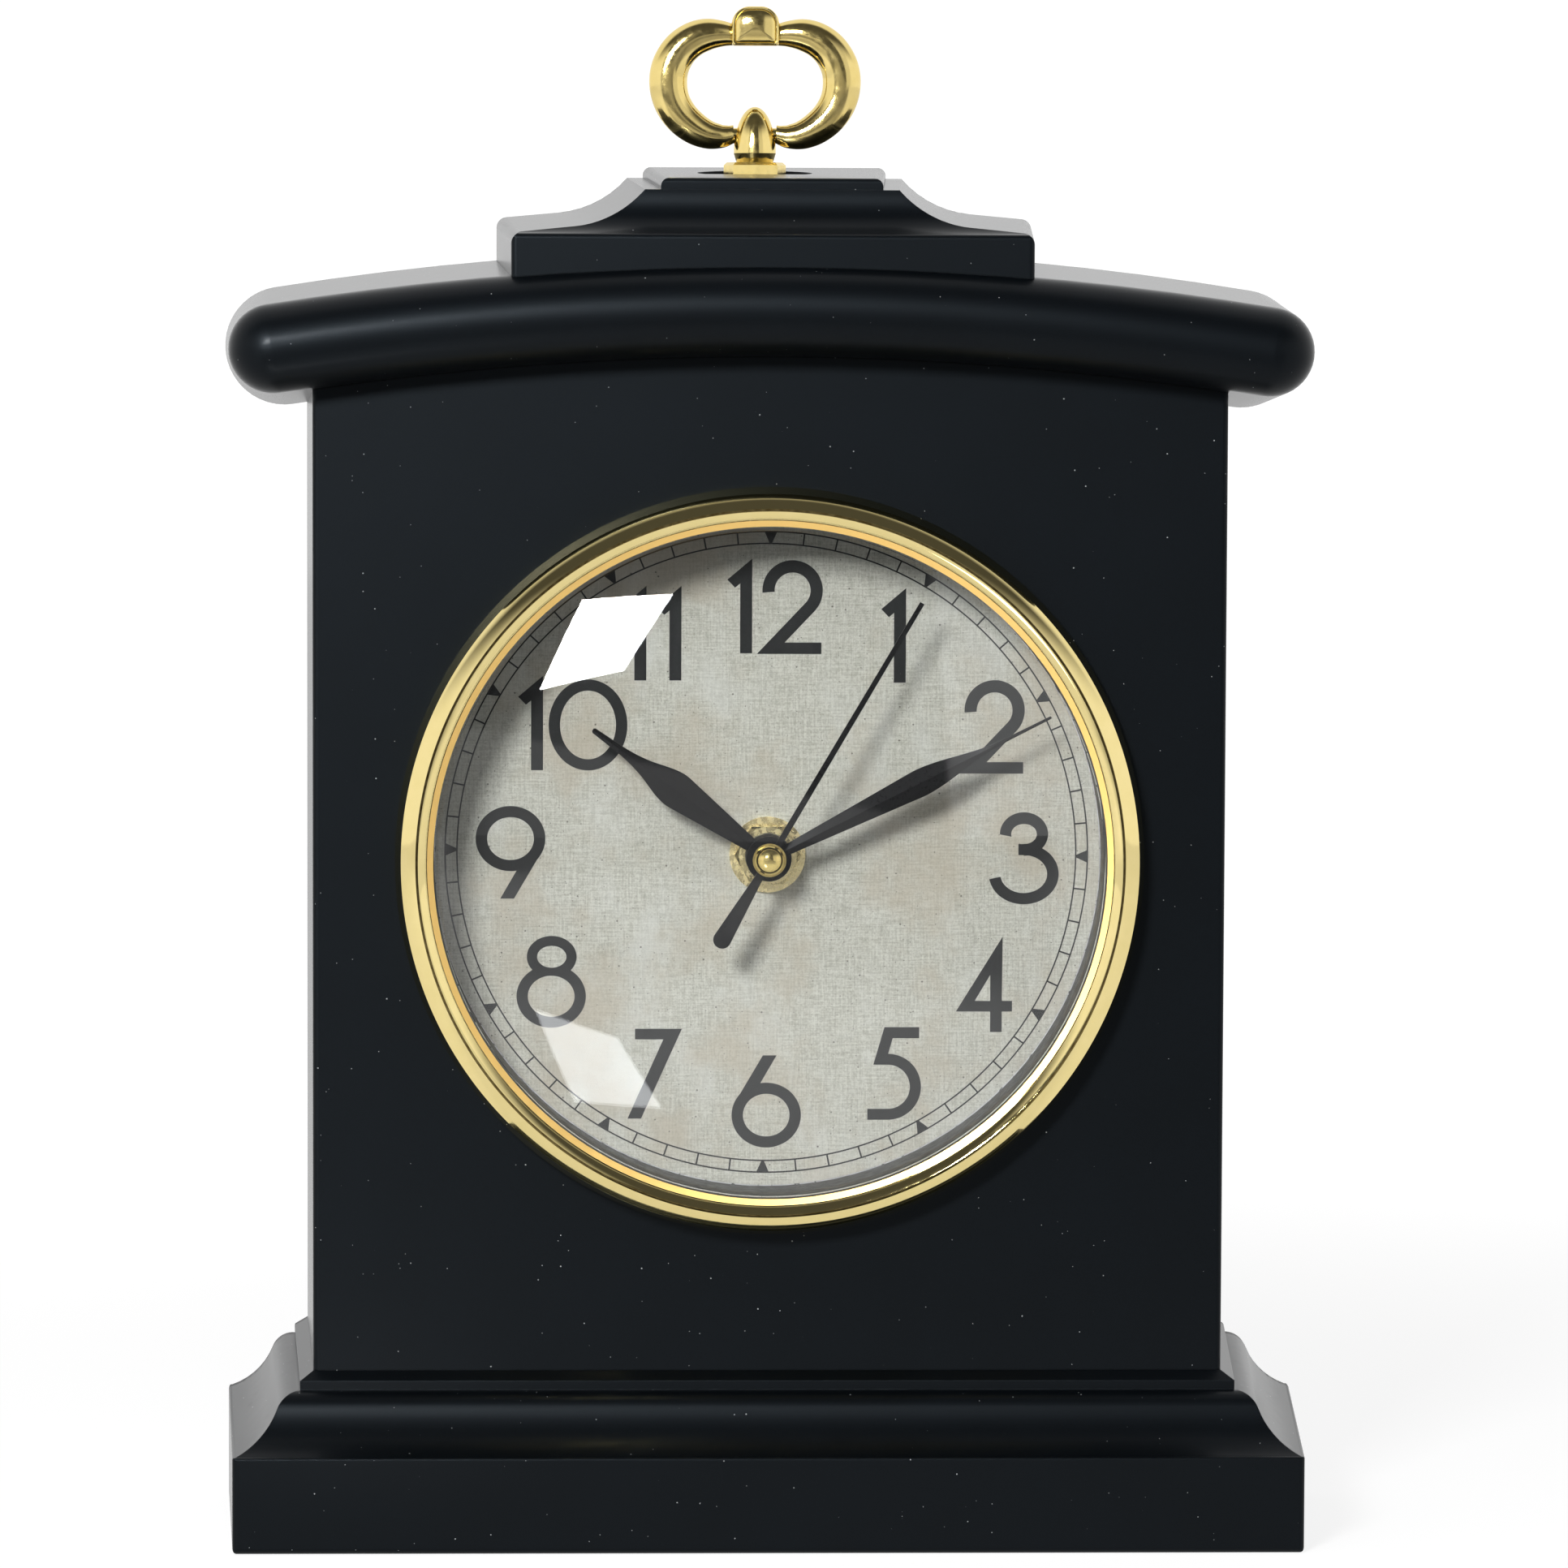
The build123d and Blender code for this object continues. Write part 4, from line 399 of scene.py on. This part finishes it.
def ink(name, tone, roughness):
    """Printed or painted black with a slight mottle."""
    paint = Paint(name)
    low = tuple(0.8 * part for part in tone)
    high = tuple(1.25 * part for part in tone)
    colour = paint.mix(paint.noise(1.5, 4), low, high)
    rough = paint.spread(paint.noise(2.0, 3), 0.3, 0.7, roughness - 0.06, roughness + 0.06)
    normal = paint.bump(paint.noise(6.0, 2), 0.015, 0.01)
    return paint.finish({
        "Base Color": colour,
        "Roughness": rough,
        "Normal": normal,
        "Specular IOR Level": 0.15,
    })


def clear_lens():
    """Clear moulded lens. Light passes straight through it to the dial."""
    paint = Paint("clear_lens")
    rough = paint.spread(paint.noise(0.15, 4), 0.4, 0.8, 0.0, 0.02)
    glass = paint.add("ShaderNodeBsdfPrincipled", {
        "Base Color": (0.985, 0.99, 0.99, 1.0),
        "Roughness": rough,
        "IOR": 1.49,
        "Transmission Weight": 1.0,
    })
    open_way = paint.add("ShaderNodeBsdfTransparent", {0: (0.95, 0.955, 0.955, 1.0)})
    path = paint.add("ShaderNodeLightPath")
    passing = paint.math("MAXIMUM", path.outputs["Is Shadow Ray"], path.outputs["Is Diffuse Ray"])
    mixed = paint.add("ShaderNodeMixShader", {0: passing, 1: glass.outputs[0], 2: open_way.outputs[0]})
    paint.feed(paint.output.inputs["Surface"], mixed.outputs[0])
    return paint.material


def floor_paint():
    """Floor that is grey to the light on it, white to the camera, bright to mirrors, and keeps the shadow."""
    paint = Paint("floor_paint")
    colour = paint.mix(paint.noise(0.004, 3), (0.23, 0.23, 0.23), (0.26, 0.26, 0.26))
    path = paint.add("ShaderNodeLightPath")
    away = paint.add("ShaderNodeVectorMath", {0: paint.place}, operation="LENGTH").outputs["Value"]
    across, depth, _ = paint.add("ShaderNodeSeparateXYZ", {0: paint.place}).outputs
    beside = paint.math("ADD", paint.math("ABSOLUTE", across), paint.math("MULTIPLY", depth, 0.7))
    white = paint.spread(away, 200, 700, 0.85, 1.0)
    near = paint.spread(away, 450, 250, 0.15, 0.7)
    bright = paint.math("MAXIMUM", near, paint.spread(beside, -100, 150, 0.15, 0.8))
    mirrored = paint.math("MAXIMUM", path.outputs["Is Glossy Ray"], path.outputs["Is Transmission Ray"])
    to_camera = paint.math("MULTIPLY", path.outputs["Is Camera Ray"], white)
    seen = paint.math("MAXIMUM", to_camera, paint.math("MULTIPLY", mirrored, bright))
    return paint.finish({
        "Base Color": colour,
        "Roughness": 0.9,
        "Specular IOR Level": 0.0,
        "Emission Color": (1, 1, 1, 1),
        "Emission Strength": seen,
    })


def lamp_paint(name, strength):
    paint = Paint(name)
    lamp = paint.add("ShaderNodeEmission", {"Color": (0.96, 0.98, 1, 1), "Strength": strength})
    paint.feed(paint.output.inputs["Surface"], lamp.outputs[0])
    return paint.material


# Meshes


def mesh_object(name, points, faces, material):
    data = bpy.data.meshes.new(name)
    data.from_pydata(points, [], faces)
    data.materials.append(material)
    piece = bpy.data.objects.new(name, data)
    bpy.context.collection.objects.link(piece)
    return piece


def prism(name, outline, material, front=DIAL_FRONT - INK_THICKNESS, back=DIAL_FRONT):
    """A flat outline on the dial, in millimetres from its axis, made solid between two depths."""
    count = len(outline)
    points = [at(x, front, DIAL_LEVEL + z) for x, z in outline]
    points += [at(x, back, DIAL_LEVEL + z) for x, z in outline]
    faces = [list(range(count)), list(range(2 * count - 1, count - 1, -1))]
    for here in range(count):
        after = (here + 1) % count
        faces.append([after, here, here + count, after + count])
    piece = mesh_object(name, points, faces, material)
    turn_outwards(piece)
    return piece


def turn_outwards(piece):
    shape = bmesh.new()
    shape.from_mesh(piece.data)
    bmesh.ops.recalc_face_normals(shape, faces=shape.faces)
    shape.to_mesh(piece.data)
    shape.free()


def settle(piece):
    """Keeps the result of the piece's modifiers as its mesh."""
    graph = bpy.context.evaluated_depsgraph_get()
    result = bpy.data.meshes.new_from_object(piece.evaluated_get(graph))
    piece.modifiers.clear()
    piece.data = result


def combine(piece, others, operation):
    for other in others:
        step = piece.modifiers.new("combine", "BOOLEAN")
        step.operation = operation
        step.solver = "EXACT"
        step.object = other
        settle(piece)
        bpy.data.objects.remove(other)
    return piece


def arc_points(centre, radii, start, end, steps=ARC_STEPS):
    """Points on an ellipse, with angles in degrees from +X towards +Z."""
    turn = [radians(start + (end - start) * step / steps) for step in range(steps + 1)]
    return [(centre[0] + radii[0] * cos(angle), centre[1] + radii[1] * sin(angle)) for angle in turn]


def oval(centre, radii):
    return arc_points(centre, radii, 0, 360)[:-1]


def band(centre, outer, inner, start, end):
    return arc_points(centre, outer, start, end) + arc_points(centre, inner, end, start)


def full_turn(steps):
    return [tau * step / steps for step in range(steps)]


def ride_on_case(piece):
    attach(piece, "case")


def smooth(piece, sharp):
    """Smooth shading except along edges sharper than an angle in degrees."""
    turn_outwards(piece)
    piece.data.shade_smooth()
    piece.data.set_sharp_from_angle(angle=radians(sharp))


def turned(name, outline, material, ring):
    """Radii and depths turned about the dial's axis. Outlines other than a ring's end on the axis."""
    turn = full_turn(TURN_STEPS)
    circles = outline if ring else outline[1:-1]
    points = []
    for radius, depth in circles:
        points += [at(radius * cos(angle), depth, DIAL_LEVEL + radius * sin(angle)) for angle in turn]
    count = len(circles)
    faces = []
    for step in range(TURN_STEPS):
        after = (step + 1) % TURN_STEPS
        for index in range(count if ring else count - 1):
            here = index * TURN_STEPS
            there = (index + 1) % count * TURN_STEPS
            faces.append([here + step, there + step, there + after, here + after])
    if not ring:
        for end, first in ((outline[0], 0), (outline[-1], (count - 1) * TURN_STEPS)):
            pole = len(points)
            points.append(at(0, end[1], DIAL_LEVEL))
            faces += [[pole, first + step, first + (step + 1) % TURN_STEPS] for step in range(TURN_STEPS)]
    piece = mesh_object(name, points, faces, material)
    smooth(piece, TURNED_SHARP)
    return piece


def clear_dome(material):
    """The lens as one smooth mesh: an even dome with a flat rim."""
    def dome(radius, level, steps):
        reach = asin(sqrt(radius**2 - (LENS_CENTRE_DEPTH - level) ** 2) / radius)
        turn = [reach * step / steps for step in range(steps + 1)]
        return [(radius * sin(angle), LENS_CENTRE_DEPTH - radius * cos(angle)) for angle in turn]

    back = LENS_FRONT + LENS_THICKNESS
    outline = dome(LENS_RADIUS, LENS_FRONT, LENS_RINGS)
    outline += [(LENS_RIM, LENS_FRONT), (LENS_RIM, back)]
    outline += reversed(dome(LENS_RADIUS - LENS_THICKNESS, back, LENS_RINGS))
    lens = turned("clear_dome", outline, material, False)
    ride_on_case(lens)
    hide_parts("lens")


def crowned(start, end, slopes):
    """A convex line between two radii that starts at a depth, with its slope turning evenly in degrees."""
    radius, depth = start
    step = (end - radius) / PROFILE_STEPS
    line = [start]
    for index in range(PROFILE_STEPS):
        slope = slopes[0] + (slopes[1] - slopes[0]) * (index + 0.5) / PROFILE_STEPS
        radius += step
        depth += step * tan(radians(slope))
        line.append((radius, depth))
    return line


def gold_ring(material):
    """The bezel as one mesh: steep flank, crowned band, groove, crowned bevel and satin inner band."""
    outline = [(BEZEL_OUTER, CASE_FRONT), (BEZEL_OUTER, FLANK_FRONT)]
    outline += reversed(crowned((BAND_INNER, BAND_FRONT), BAND_OUTER, BAND_SLOPES))
    outline += [(BAND_INNER, GROOVE_DEPTH), (BEVEL_OUTER, GROOVE_DEPTH)]
    outline += crowned((BEVEL_OUTER, BEZEL_FRONT), BEVEL_INNER, BEVEL_SLOPES)
    outline += [(OPENING, OPENING_FRONT), (OPENING, LENS_FRONT)]
    outline += [(SEAT_RADIUS, LENS_FRONT), (SEAT_RADIUS, SKIRT_BACK)]
    outline += [(SKIRT_OUTER, SKIRT_BACK), (SKIRT_OUTER, CASE_FRONT)]
    ring = turned("gold_ring", outline, material, True)
    ride_on_case(ring)
    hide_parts("bezel")


def tube(name, rings, material):
    """Closed mesh through rings of points that have the same count, with flat ends."""
    count = len(rings[0])
    points = [point for ring in rings for point in ring]
    faces = []
    for index in range(len(rings) - 1):
        here = index * count
        for step in range(count):
            after = (step + 1) % count
            faces.append([here + step, here + after, here + count + after, here + count + step])
    faces.append(list(range(count)))
    faces.append([len(points) - 1 - step for step in range(count)])
    piece = mesh_object(name, points, faces, material)
    turn_outwards(piece)
    return piece


def through(stations, steps):
    """A smooth line through stations, with more points between them."""
    ends = [stations[0], *stations, stations[-1]]
    line = []
    for index in range(1, len(ends) - 2):
        before, start, end, after = (Vector(ends[index + shift]) for shift in (-1, 0, 1, 2))
        for step in range(steps):
            t = step / steps
            bend = (end - before) * t + (2 * before - 5 * start + 4 * end - after) * t**2
            line.append(start + (bend + (3 * start - before - 3 * end + after) * t**3) / 2)
    line.append(Vector(stations[-1]))
    return line


def loop_spot(x, y, z):
    """A point of the handle from its pivot, in millimetres."""
    return at(HANDLE_PLACE[0] + x, HANDLE_PLACE[1] + y, HANDLE_PLACE[2] + z)


def loop_arm(side, material):
    """One arm of the handle, from inside the bead round to its stub in the post."""
    line = through(ARM_LINE, ARM_SPAN_STEPS)
    last = len(line) - 1

    def ring(x, z, slope, width, ratio):
        half = width / 2
        spots = []
        for angle in full_turn(ARM_ROUND_STEPS):
            out = half * cos(angle)
            depth = ratio * half * sin(angle)
            spots.append(loop_spot(side * (x - out * slope[1]), depth, z + out * slope[0]))
        return spots

    rings = []
    for index, (x, z, width) in enumerate(line):
        before, after = line[max(index - 1, 0)], line[min(index + 1, last)]
        slope = Vector((after[0] - before[0], after[1] - before[1])).normalized()
        if index == 0:
            slope = (1, 0)
        elif index == last:
            slope = (-1, 0)
        rings.append(ring(x, z, slope, width, ARM_DEPTH_RATIO))
    for x in (ARM_LINE[-1][0], STUB_END):
        rings.append(ring(x, 0, (-1, 0), STUB_WIDTH, 1))
    return tube("loop_arm", rings, material)


def gold_loop(material):
    """The handle as smooth arms and a bead with a raised edge round its cushion-shaped front."""
    middle = (BEAD_BOTTOM + BEAD_TOP) / 2
    crown_x, crown_z = BEAD_WIDTH / 2 - BEAD_CROWN, BEAD_TOP - BEAD_CROWN
    foot_x, foot_z = BEAD_WIDTH / 2 - BEAD_FOOT_ROUND, BEAD_BOTTOM + BEAD_FOOT_ROUND
    corners = (
        (crown_x, crown_z, BEAD_CROWN, 0),
        (-crown_x, crown_z, BEAD_CROWN, 90),
        (-foot_x, foot_z, BEAD_FOOT_ROUND, 180),
        (foot_x, foot_z, BEAD_FOOT_ROUND, 270),
    )
    outline = []
    for x, z, radius, start in corners:
        outline += arc_points((x, z), (radius, radius), start, start + 90, BEAD_CORNER_STEPS)
    levels = [(scale, -depth) for scale, depth in reversed(BEAD_RINGS)] + list(BEAD_RINGS)

    def ring(scale, depth):
        return [loop_spot(scale * x, depth, middle + scale * (z - middle)) for x, z in outline]

    bead = tube("gold_loop", [ring(scale, depth) for scale, depth in levels], material)
    loop = combine(bead, [loop_arm(1, material), loop_arm(-1, material)], "UNION")
    smooth(loop, LOOP_SHARP)
    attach(loop, "handle")
    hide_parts("handle_loop")


def leaf_widths(widths):
    """Finer stations along a leaf-shaped blade, as shares of its length and widths."""
    def pull(index):
        low, high = max(index - 1, 0), min(index + 1, len(widths) - 1)
        return (widths[high] - widths[low]) / (LEAF_SHARES[high] - LEAF_SHARES[low])

    stations = [(LEAF_SHARES[0], widths[0])]
    for index in range(1, len(widths)):
        start, end = LEAF_SHARES[index - 1], LEAF_SHARES[index]
        span = end - start
        straight = index in (1, len(widths) - 1)
        chord = (widths[index] - widths[index - 1]) / span
        first = chord if straight else pull(index - 1)
        second = chord if straight else pull(index)
        for step in range(1, BLADE_STEPS + 1):
            t = step / BLADE_STEPS
            width = (2 * t**3 - 3 * t**2 + 1) * widths[index - 1] + (3 * t**2 - 2 * t**3) * widths[index]
            width += span * ((t**3 - 2 * t**2 + t) * first + (t**3 - t**2) * second)
            stations.append((start + span * t, width))
    return stations


def leaf_hand(name, node, body, material, length, widths, height, bore, angle):
    """A blade folded along its middle on a round hub, in place of the flat CAD hand."""
    back = DIAL_FRONT - height
    edge = back - HAND_THICKNESS + HAND_RIDGE / 2
    ridge = edge - HAND_RIDGE
    stations = leaf_widths(widths)
    stations.append((1 + TIP_REACH * widths[-1] / length, TIP_SHARE * widths[-1]))
    turn = radians(angle)

    def spot(across, along, depth):
        x = across * cos(turn) + along * sin(turn)
        z = along * cos(turn) - across * sin(turn)
        return at(x, depth, DIAL_LEVEL + z)

    points, faces = [], []
    for share, width in stations:
        half = width / 2
        for across, depth in ((-half, back), (-half, edge), (0, ridge), (half, edge), (half, back)):
            points.append(spot(across, share * length, depth))
    last = len(points) - BLADE_SIDES
    for here in range(0, last, BLADE_SIDES):
        there = here + BLADE_SIDES
        for side in range(BLADE_SIDES):
            after = (side + 1) % BLADE_SIDES
            faces.append([here + side, here + after, there + after, there + side])
    faces.append(list(range(BLADE_SIDES)))
    faces.append([last + side for side in range(BLADE_SIDES)])
    blade = mesh_object(name, points, faces, material)
    turn_outwards(blade)
    front = back - HAND_THICKNESS
    hub = prism(name + "_hub", oval((0, 0), (HUB_RADIUS, HUB_RADIUS)), material, front, back)
    hole = prism(name + "_hole", oval((0, 0), (bore, bore)), material, front - 1, back + 1)
    hand = combine(combine(blade, [hub], "UNION"), [hole], "DIFFERENCE")
    smooth(hand, HAND_SHARP)
    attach(hand, body)
    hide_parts(node)


# Numerals: each has a list of outlines that join and a list of outlines cut out, from its foot


def glyph_one():
    return [[(0, 0), (0, 16.35), (-4.30, 12.71), (-2.96, 11.33), (-2.07, 12.06), (-2.07, 0)]], []


def glyph_two():
    centre, outer, inner = (5.80, 10.98), 5.22, 3.10
    slope = 46.5
    foot = 1.99
    start, end = 184.4, slope - 90
    along = (cos(radians(slope)), sin(radians(slope)))
    rim = [(centre[0] + r * along[1], centre[1] - r * along[0]) for r in (outer, inner)]
    feet = [(x - z / along[1] * along[0], 0) for x, z in rim]
    hook = band(centre, (outer, outer), (inner, inner), start, end)
    stroke = [rim[0], feet[0], feet[1], rim[1]]
    base = [(feet[1][0], 0), (10.80, 0), (10.80, foot), (feet[1][0] + foot * along[0] / along[1], foot)]
    return [hook, stroke, base], []


def glyph_three():
    upper, lower = (5.63, 12.22), (5.63, 5.26)
    top = arc_points(upper, (4.18, 3.78), 181, -90) + arc_points(upper, (2.22, 1.75), -90, 196)
    bottom = arc_points(lower, (6.06, 5.26), 90, -170) + arc_points(lower, (4.06, 3.30), -172, 90)
    spur = [(4.68, 8.56), (5.8, 8.56), (5.8, 10.47), (4.68, 10.47)]
    return [top, bottom, spur], []


def glyph_four():
    outline = [
        (8.05, 16.60), (7.97, 5.42), (9.74, 5.42), (9.74, 3.57), (7.97, 3.57), (7.97, 0), (5.94, 0),
        (5.94, 3.57), (0, 3.57),
    ]
    return [outline], [[(5.94, 9.95), (5.94, 5.42), (3.26, 5.42)]]


def glyph_five():
    centre = (3.56, 5.74)
    bar = [(2.91, 16.14), (8.93, 16.14), (8.93, 14.22), (2.34, 14.22)]
    stem = [(2.91, 16.14), (4.91, 16.14), (3.56, 11.47), (3.56, 9.60), (1.0, 9.60)]
    bowl = band(centre, (5.73, 5.74), (3.80, 3.84), 90, -90)
    foot = [(0, 0), (3.56, 0), (3.56, 1.90), (0, 1.90)]
    return [bowl, stem, bar, foot], []


def glyph_six():
    centre = (6.02, 5.65)
    bar = [(5.40, 16.06), (7.78, 16.06), (4.10, 9.70), (0.38, 7.51)]
    return [oval(centre, (6.02, 5.65)), bar], [oval(centre, (4.04, 3.72))]


def glyph_nine():
    joined, cut = glyph_six()
    width, height = 12.04, 16.06

    def turned_over(outlines):
        return [[(width - x, height - z) for x, z in outline] for outline in outlines]

    return turned_over(joined), turned_over(cut)


def glyph_seven():
    return [[(1.26, 15.64), (9.39, 15.64), (2.34, 0), (0, 0), (6.17, 13.80), (1.26, 13.80)]], []


def glyph_eight():
    upper, lower = (6.08, 12.33), (6.0, 5.46)
    rings = [oval(lower, (6.0, 5.46)), oval(upper, (4.31, 3.62))]
    return rings, [oval(lower, (4.04, 3.58)), oval(upper, (2.53, 1.90))]


def glyph_zero():
    centre = (6.80, 7.88)
    return [oval(centre, (6.80, 7.88))], [oval(centre, (4.83, 5.94))]


NUMERALS = (
    ("numeral_12_left", glyph_one, (-2.79, 34.97)),
    ("numeral_12_right", glyph_two, (-1.61, 34.86)),
    ("numeral_1", glyph_one, (23.92, 29.92)),
    ("numeral_2", glyph_two, (33.58, 14.12)),
    ("numeral_3", glyph_three, (38.99, -8.67)),
    ("numeral_4", glyph_four, (32.95, -31.00)),
    ("numeral_5", glyph_five, (17.60, -46.37)),
    ("numeral_6", glyph_six, (-6.07, -51.24)),
    ("numeral_7", glyph_seven, (-24.18, -46.18)),
    ("numeral_8", glyph_eight, (-43.52, -30.29)),
    ("numeral_9", glyph_nine, (-50.64, -7.77)),
    ("numeral_10_left", glyph_one, (-38.98, 14.58)),
    ("numeral_10_right", glyph_zero, (-38.02, 14.55)),
    ("numeral_11_left", glyph_one, (-21.11, 30.21)),
    ("numeral_11_right", glyph_one, (-15.04, 30.22)),
)


def placed(outline, foot):
    return [(foot[0] + GLYPH_SCALE * x, foot[1] + GLYPH_SCALE * z) for x, z in outline]


def print_numerals(material):
    cut_front, cut_back = DIAL_FRONT - 3 * INK_THICKNESS, DIAL_FRONT + INK_THICKNESS
    for name, glyph, foot in NUMERALS:
        joined, cut = glyph()
        pieces = [prism(name, placed(outline, foot), material) for outline in joined]
        holes = [
            prism(name + "_cut", placed(outline, foot), material, cut_front, cut_back)
            for outline in cut
        ]
        numeral = combine(combine(pieces[0], pieces[1:], "UNION"), holes, "DIFFERENCE")
        ride_on_case(numeral)


def print_track(material):
    """Two fine rings with a tick for each minute and a wedge for each hour."""
    points, faces = [], []
    depths = (DIAL_FRONT - INK_THICKNESS, DIAL_FRONT)

    def spot(radius, angle, depth):
        x = PRINT_CENTRE[0] + radius * sin(angle)
        z = PRINT_CENTRE[1] + radius * cos(angle)
        return at(x, depth, DIAL_LEVEL + z)

    def ring(outer, inner):
        first = len(points)
        for angle in full_turn(TRACK_STEPS):
            points.extend(spot(radius, angle, depth) for depth in depths for radius in (outer, inner))
        for step in range(TRACK_STEPS):
            here = first + 4 * step
            after = first + 4 * ((step + 1) % TRACK_STEPS)
            for one, two in ((0, 1), (1, 3), (3, 2), (2, 0)):
                faces.append([here + one, here + two, after + two, after + one])

    def bar(angle, outer_width, inner_width):
        first = len(points)
        outer, inner = TRACK_OUTER - TRACK_LINE, TRACK_INNER + TRACK_LINE
        for depth in depths:
            for radius, width in ((outer, outer_width), (inner, inner_width)):
                points.append(spot(radius, angle - width / 2 / radius, depth))
                points.append(spot(radius, angle + width / 2 / radius, depth))
        for corners in ((0, 1, 3, 2), (4, 6, 7, 5), (0, 4, 5, 1), (2, 3, 7, 6), (0, 2, 6, 4), (1, 5, 7, 3)):
            faces.append([first + corner for corner in corners])

    ring(TRACK_OUTER, TRACK_OUTER - TRACK_LINE)
    ring(TRACK_INNER + TRACK_LINE, TRACK_INNER)
    for minute in range(60):
        angle = tau * minute / 60 + radians(PRINT_TURN)
        if minute % 5:
            bar(angle, TICK_WIDTH, TICK_WIDTH)
        else:
            bar(angle, MARK_BASE, MARK_TIP)
    track = mesh_object("minute_track", points, faces, material)
    turn_outwards(track)
    ride_on_case(track)


# Light


def world_light():
    """A white backdrop and side walls, with a dim room and ceiling where the viewer stands."""
    world = bpy.data.worlds.new("studio")
    bpy.context.scene.world = world
    world.use_nodes = True
    studio = Nodes(world.node_tree)
    add, math, spread = studio.add, studio.math, studio.spread
    way = add("ShaderNodeSeparateXYZ", {0: add("ShaderNodeTexCoord").outputs["Generated"]})
    right, back, up = way.outputs

    def scaled(value, share):
        return math("MULTIPLY", value, share)

    def plane(x_share, y_share, z_share):
        level_part = math("ADD", scaled(right, x_share), scaled(back, y_share))
        return math("ADD", level_part, scaled(up, z_share))

    backdrop = spread(back, -0.35, 0.0)
    left_wall = spread(plane(-1, 0.7, 0), -0.05, 0.1)
    right_wall = spread(plane(1, 0.398, 0), -0.012, 0.012)
    far_right = spread(plane(1, 0.9, 0), -0.1, 0.1)
    low_band = spread(plane(0.204, 0.0776, 1), 0.01, -0.01)
    sides = math("MAXIMUM", math("MAXIMUM", left_wall, scaled(right_wall, 0.75)), far_right)
    walls = math("MAXIMUM", sides, backdrop)
    ceiling = spread(up, 0.65, 0.3)
    room = math("MAXIMUM", math("MULTIPLY", walls, ceiling), scaled(low_band, 0.32))
    level = math("ADD", room, 0.08)
    path = add("ShaderNodeLightPath")
    mirrored = math("MAXIMUM", path.outputs["Is Glossy Ray"], path.outputs["Is Transmission Ray"])
    seen = math("MAXIMUM", path.outputs["Is Camera Ray"], math("MULTIPLY", mirrored, backdrop))
    strength = math("MAXIMUM", level, seen)
    background = add("ShaderNodeBackground", {"Color": (1, 1, 1, 1), "Strength": strength})
    add("ShaderNodeOutputWorld", {"Surface": background.outputs[0]})


def card(name, corners, strength):
    """A bright panel that shows only where the clock mirrors it."""
    points = [at(*corner) for corner in corners]
    panel = mesh_object(name, points, [[0, 1, 2, 3]], lamp_paint(name, strength))
    panel.visible_camera = False
    panel.visible_diffuse = False
    panel.visible_shadow = False


def soft_lamp(name, place, target, size, power):
    """A soft lamp that lights the clock without showing in its metal and lens."""
    data = bpy.data.lights.new(name, "AREA")
    data.size = size
    data.energy = power
    lamp = bpy.data.objects.new(name, data)
    lamp.location = at(*place)
    lamp.rotation_euler = (at(*target) - lamp.location).to_track_quat("-Z", "Y").to_euler()
    lamp.visible_camera = False
    lamp.visible_glossy = False
    lamp.visible_transmission = False
    bpy.context.collection.objects.link(lamp)


def lay_floor():
    signs = ((-1, -1), (1, -1), (1, 1), (-1, 1))
    points = [at(x * FLOOR_REACH, y * FLOOR_REACH, -FLOOR_DROP) for x, y in signs]
    floor = mesh_object("floor", points, [[0, 1, 2, 3]], floor_paint())


# Scene

scene = bpy.context.scene
scene.view_settings.view_transform = "Standard"
aim_camera()
world_light()
lay_floor()

card("key_card", KEY_CORNERS, KEY_STRENGTH)
soft_lamp("key_lamp", **KEY_LAMP)
card("table_gleam", TABLE_GLEAM, GLEAM_STRENGTH)
soft_lamp("fill_lamp", **FILL_LAMP)

paints = {
    "case_black": case_plastic(),
    "gold_plate": bezel_gold(),
    "gold_metal": metal("gold_metal", (0.76, 0.58, 0.19), (0.88, 0.71, 0.30), 0.13),
    "clear": clear_lens(),
    "black_plastic": moulded("black_plastic", (0.008, 0.008, 0.009), 0.45),
    "dial_paper": dial_paper(),
    "plate_metal": metal("plate_metal", (0.62, 0.62, 0.62), (0.74, 0.74, 0.74), 0.35, 0.004),
    "hand_black": ink("hand_black", (0.006, 0.006, 0.0065), 0.32),
    "rubber_black": moulded("rubber_black", (0.012, 0.012, 0.012), 0.7),
    "steel": metal("steel", (0.50, 0.50, 0.51), (0.64, 0.64, 0.65), 0.28),
    "copper_wire": metal("copper_wire", (0.55, 0.22, 0.09), (0.68, 0.30, 0.13), 0.3),
    "wheel_white": moulded("wheel_white", (0.62, 0.61, 0.56), 0.4),
    "board_green": moulded("board_green", (0.02, 0.14, 0.05), 0.3),
    "cell_wrap": moulded("cell_wrap", (0.035, 0.05, 0.08), 0.3),
}
for entry in frame["record"]["subparts"]:
    piece = nodes[entry["node"]]
    piece.data.materials.clear()
    piece.data.materials.append(paints[entry["material_slot"]])

washer_gold = metal("washer_gold", (0.84, 0.70, 0.36), (0.90, 0.77, 0.44), 0.26, 0.004)
for node in ("fixing_washer", "fixing_nut"):
    nodes[node].data.materials[0] = washer_gold
print_ink = ink("print_ink", (0.014, 0.015, 0.015), 0.6)
clear_dome(paints["clear"])
gold_ring(paints["gold_plate"])
gold_loop(paints["gold_metal"])
leaf_hand("hour_blade", "hour_hand", "hours", paints["hand_black"], **HOUR_HAND)
leaf_hand("minute_blade", "minute_hand", "minutes", paints["hand_black"], **MINUTE_HAND)
print_numerals(print_ink)
print_track(print_ink)
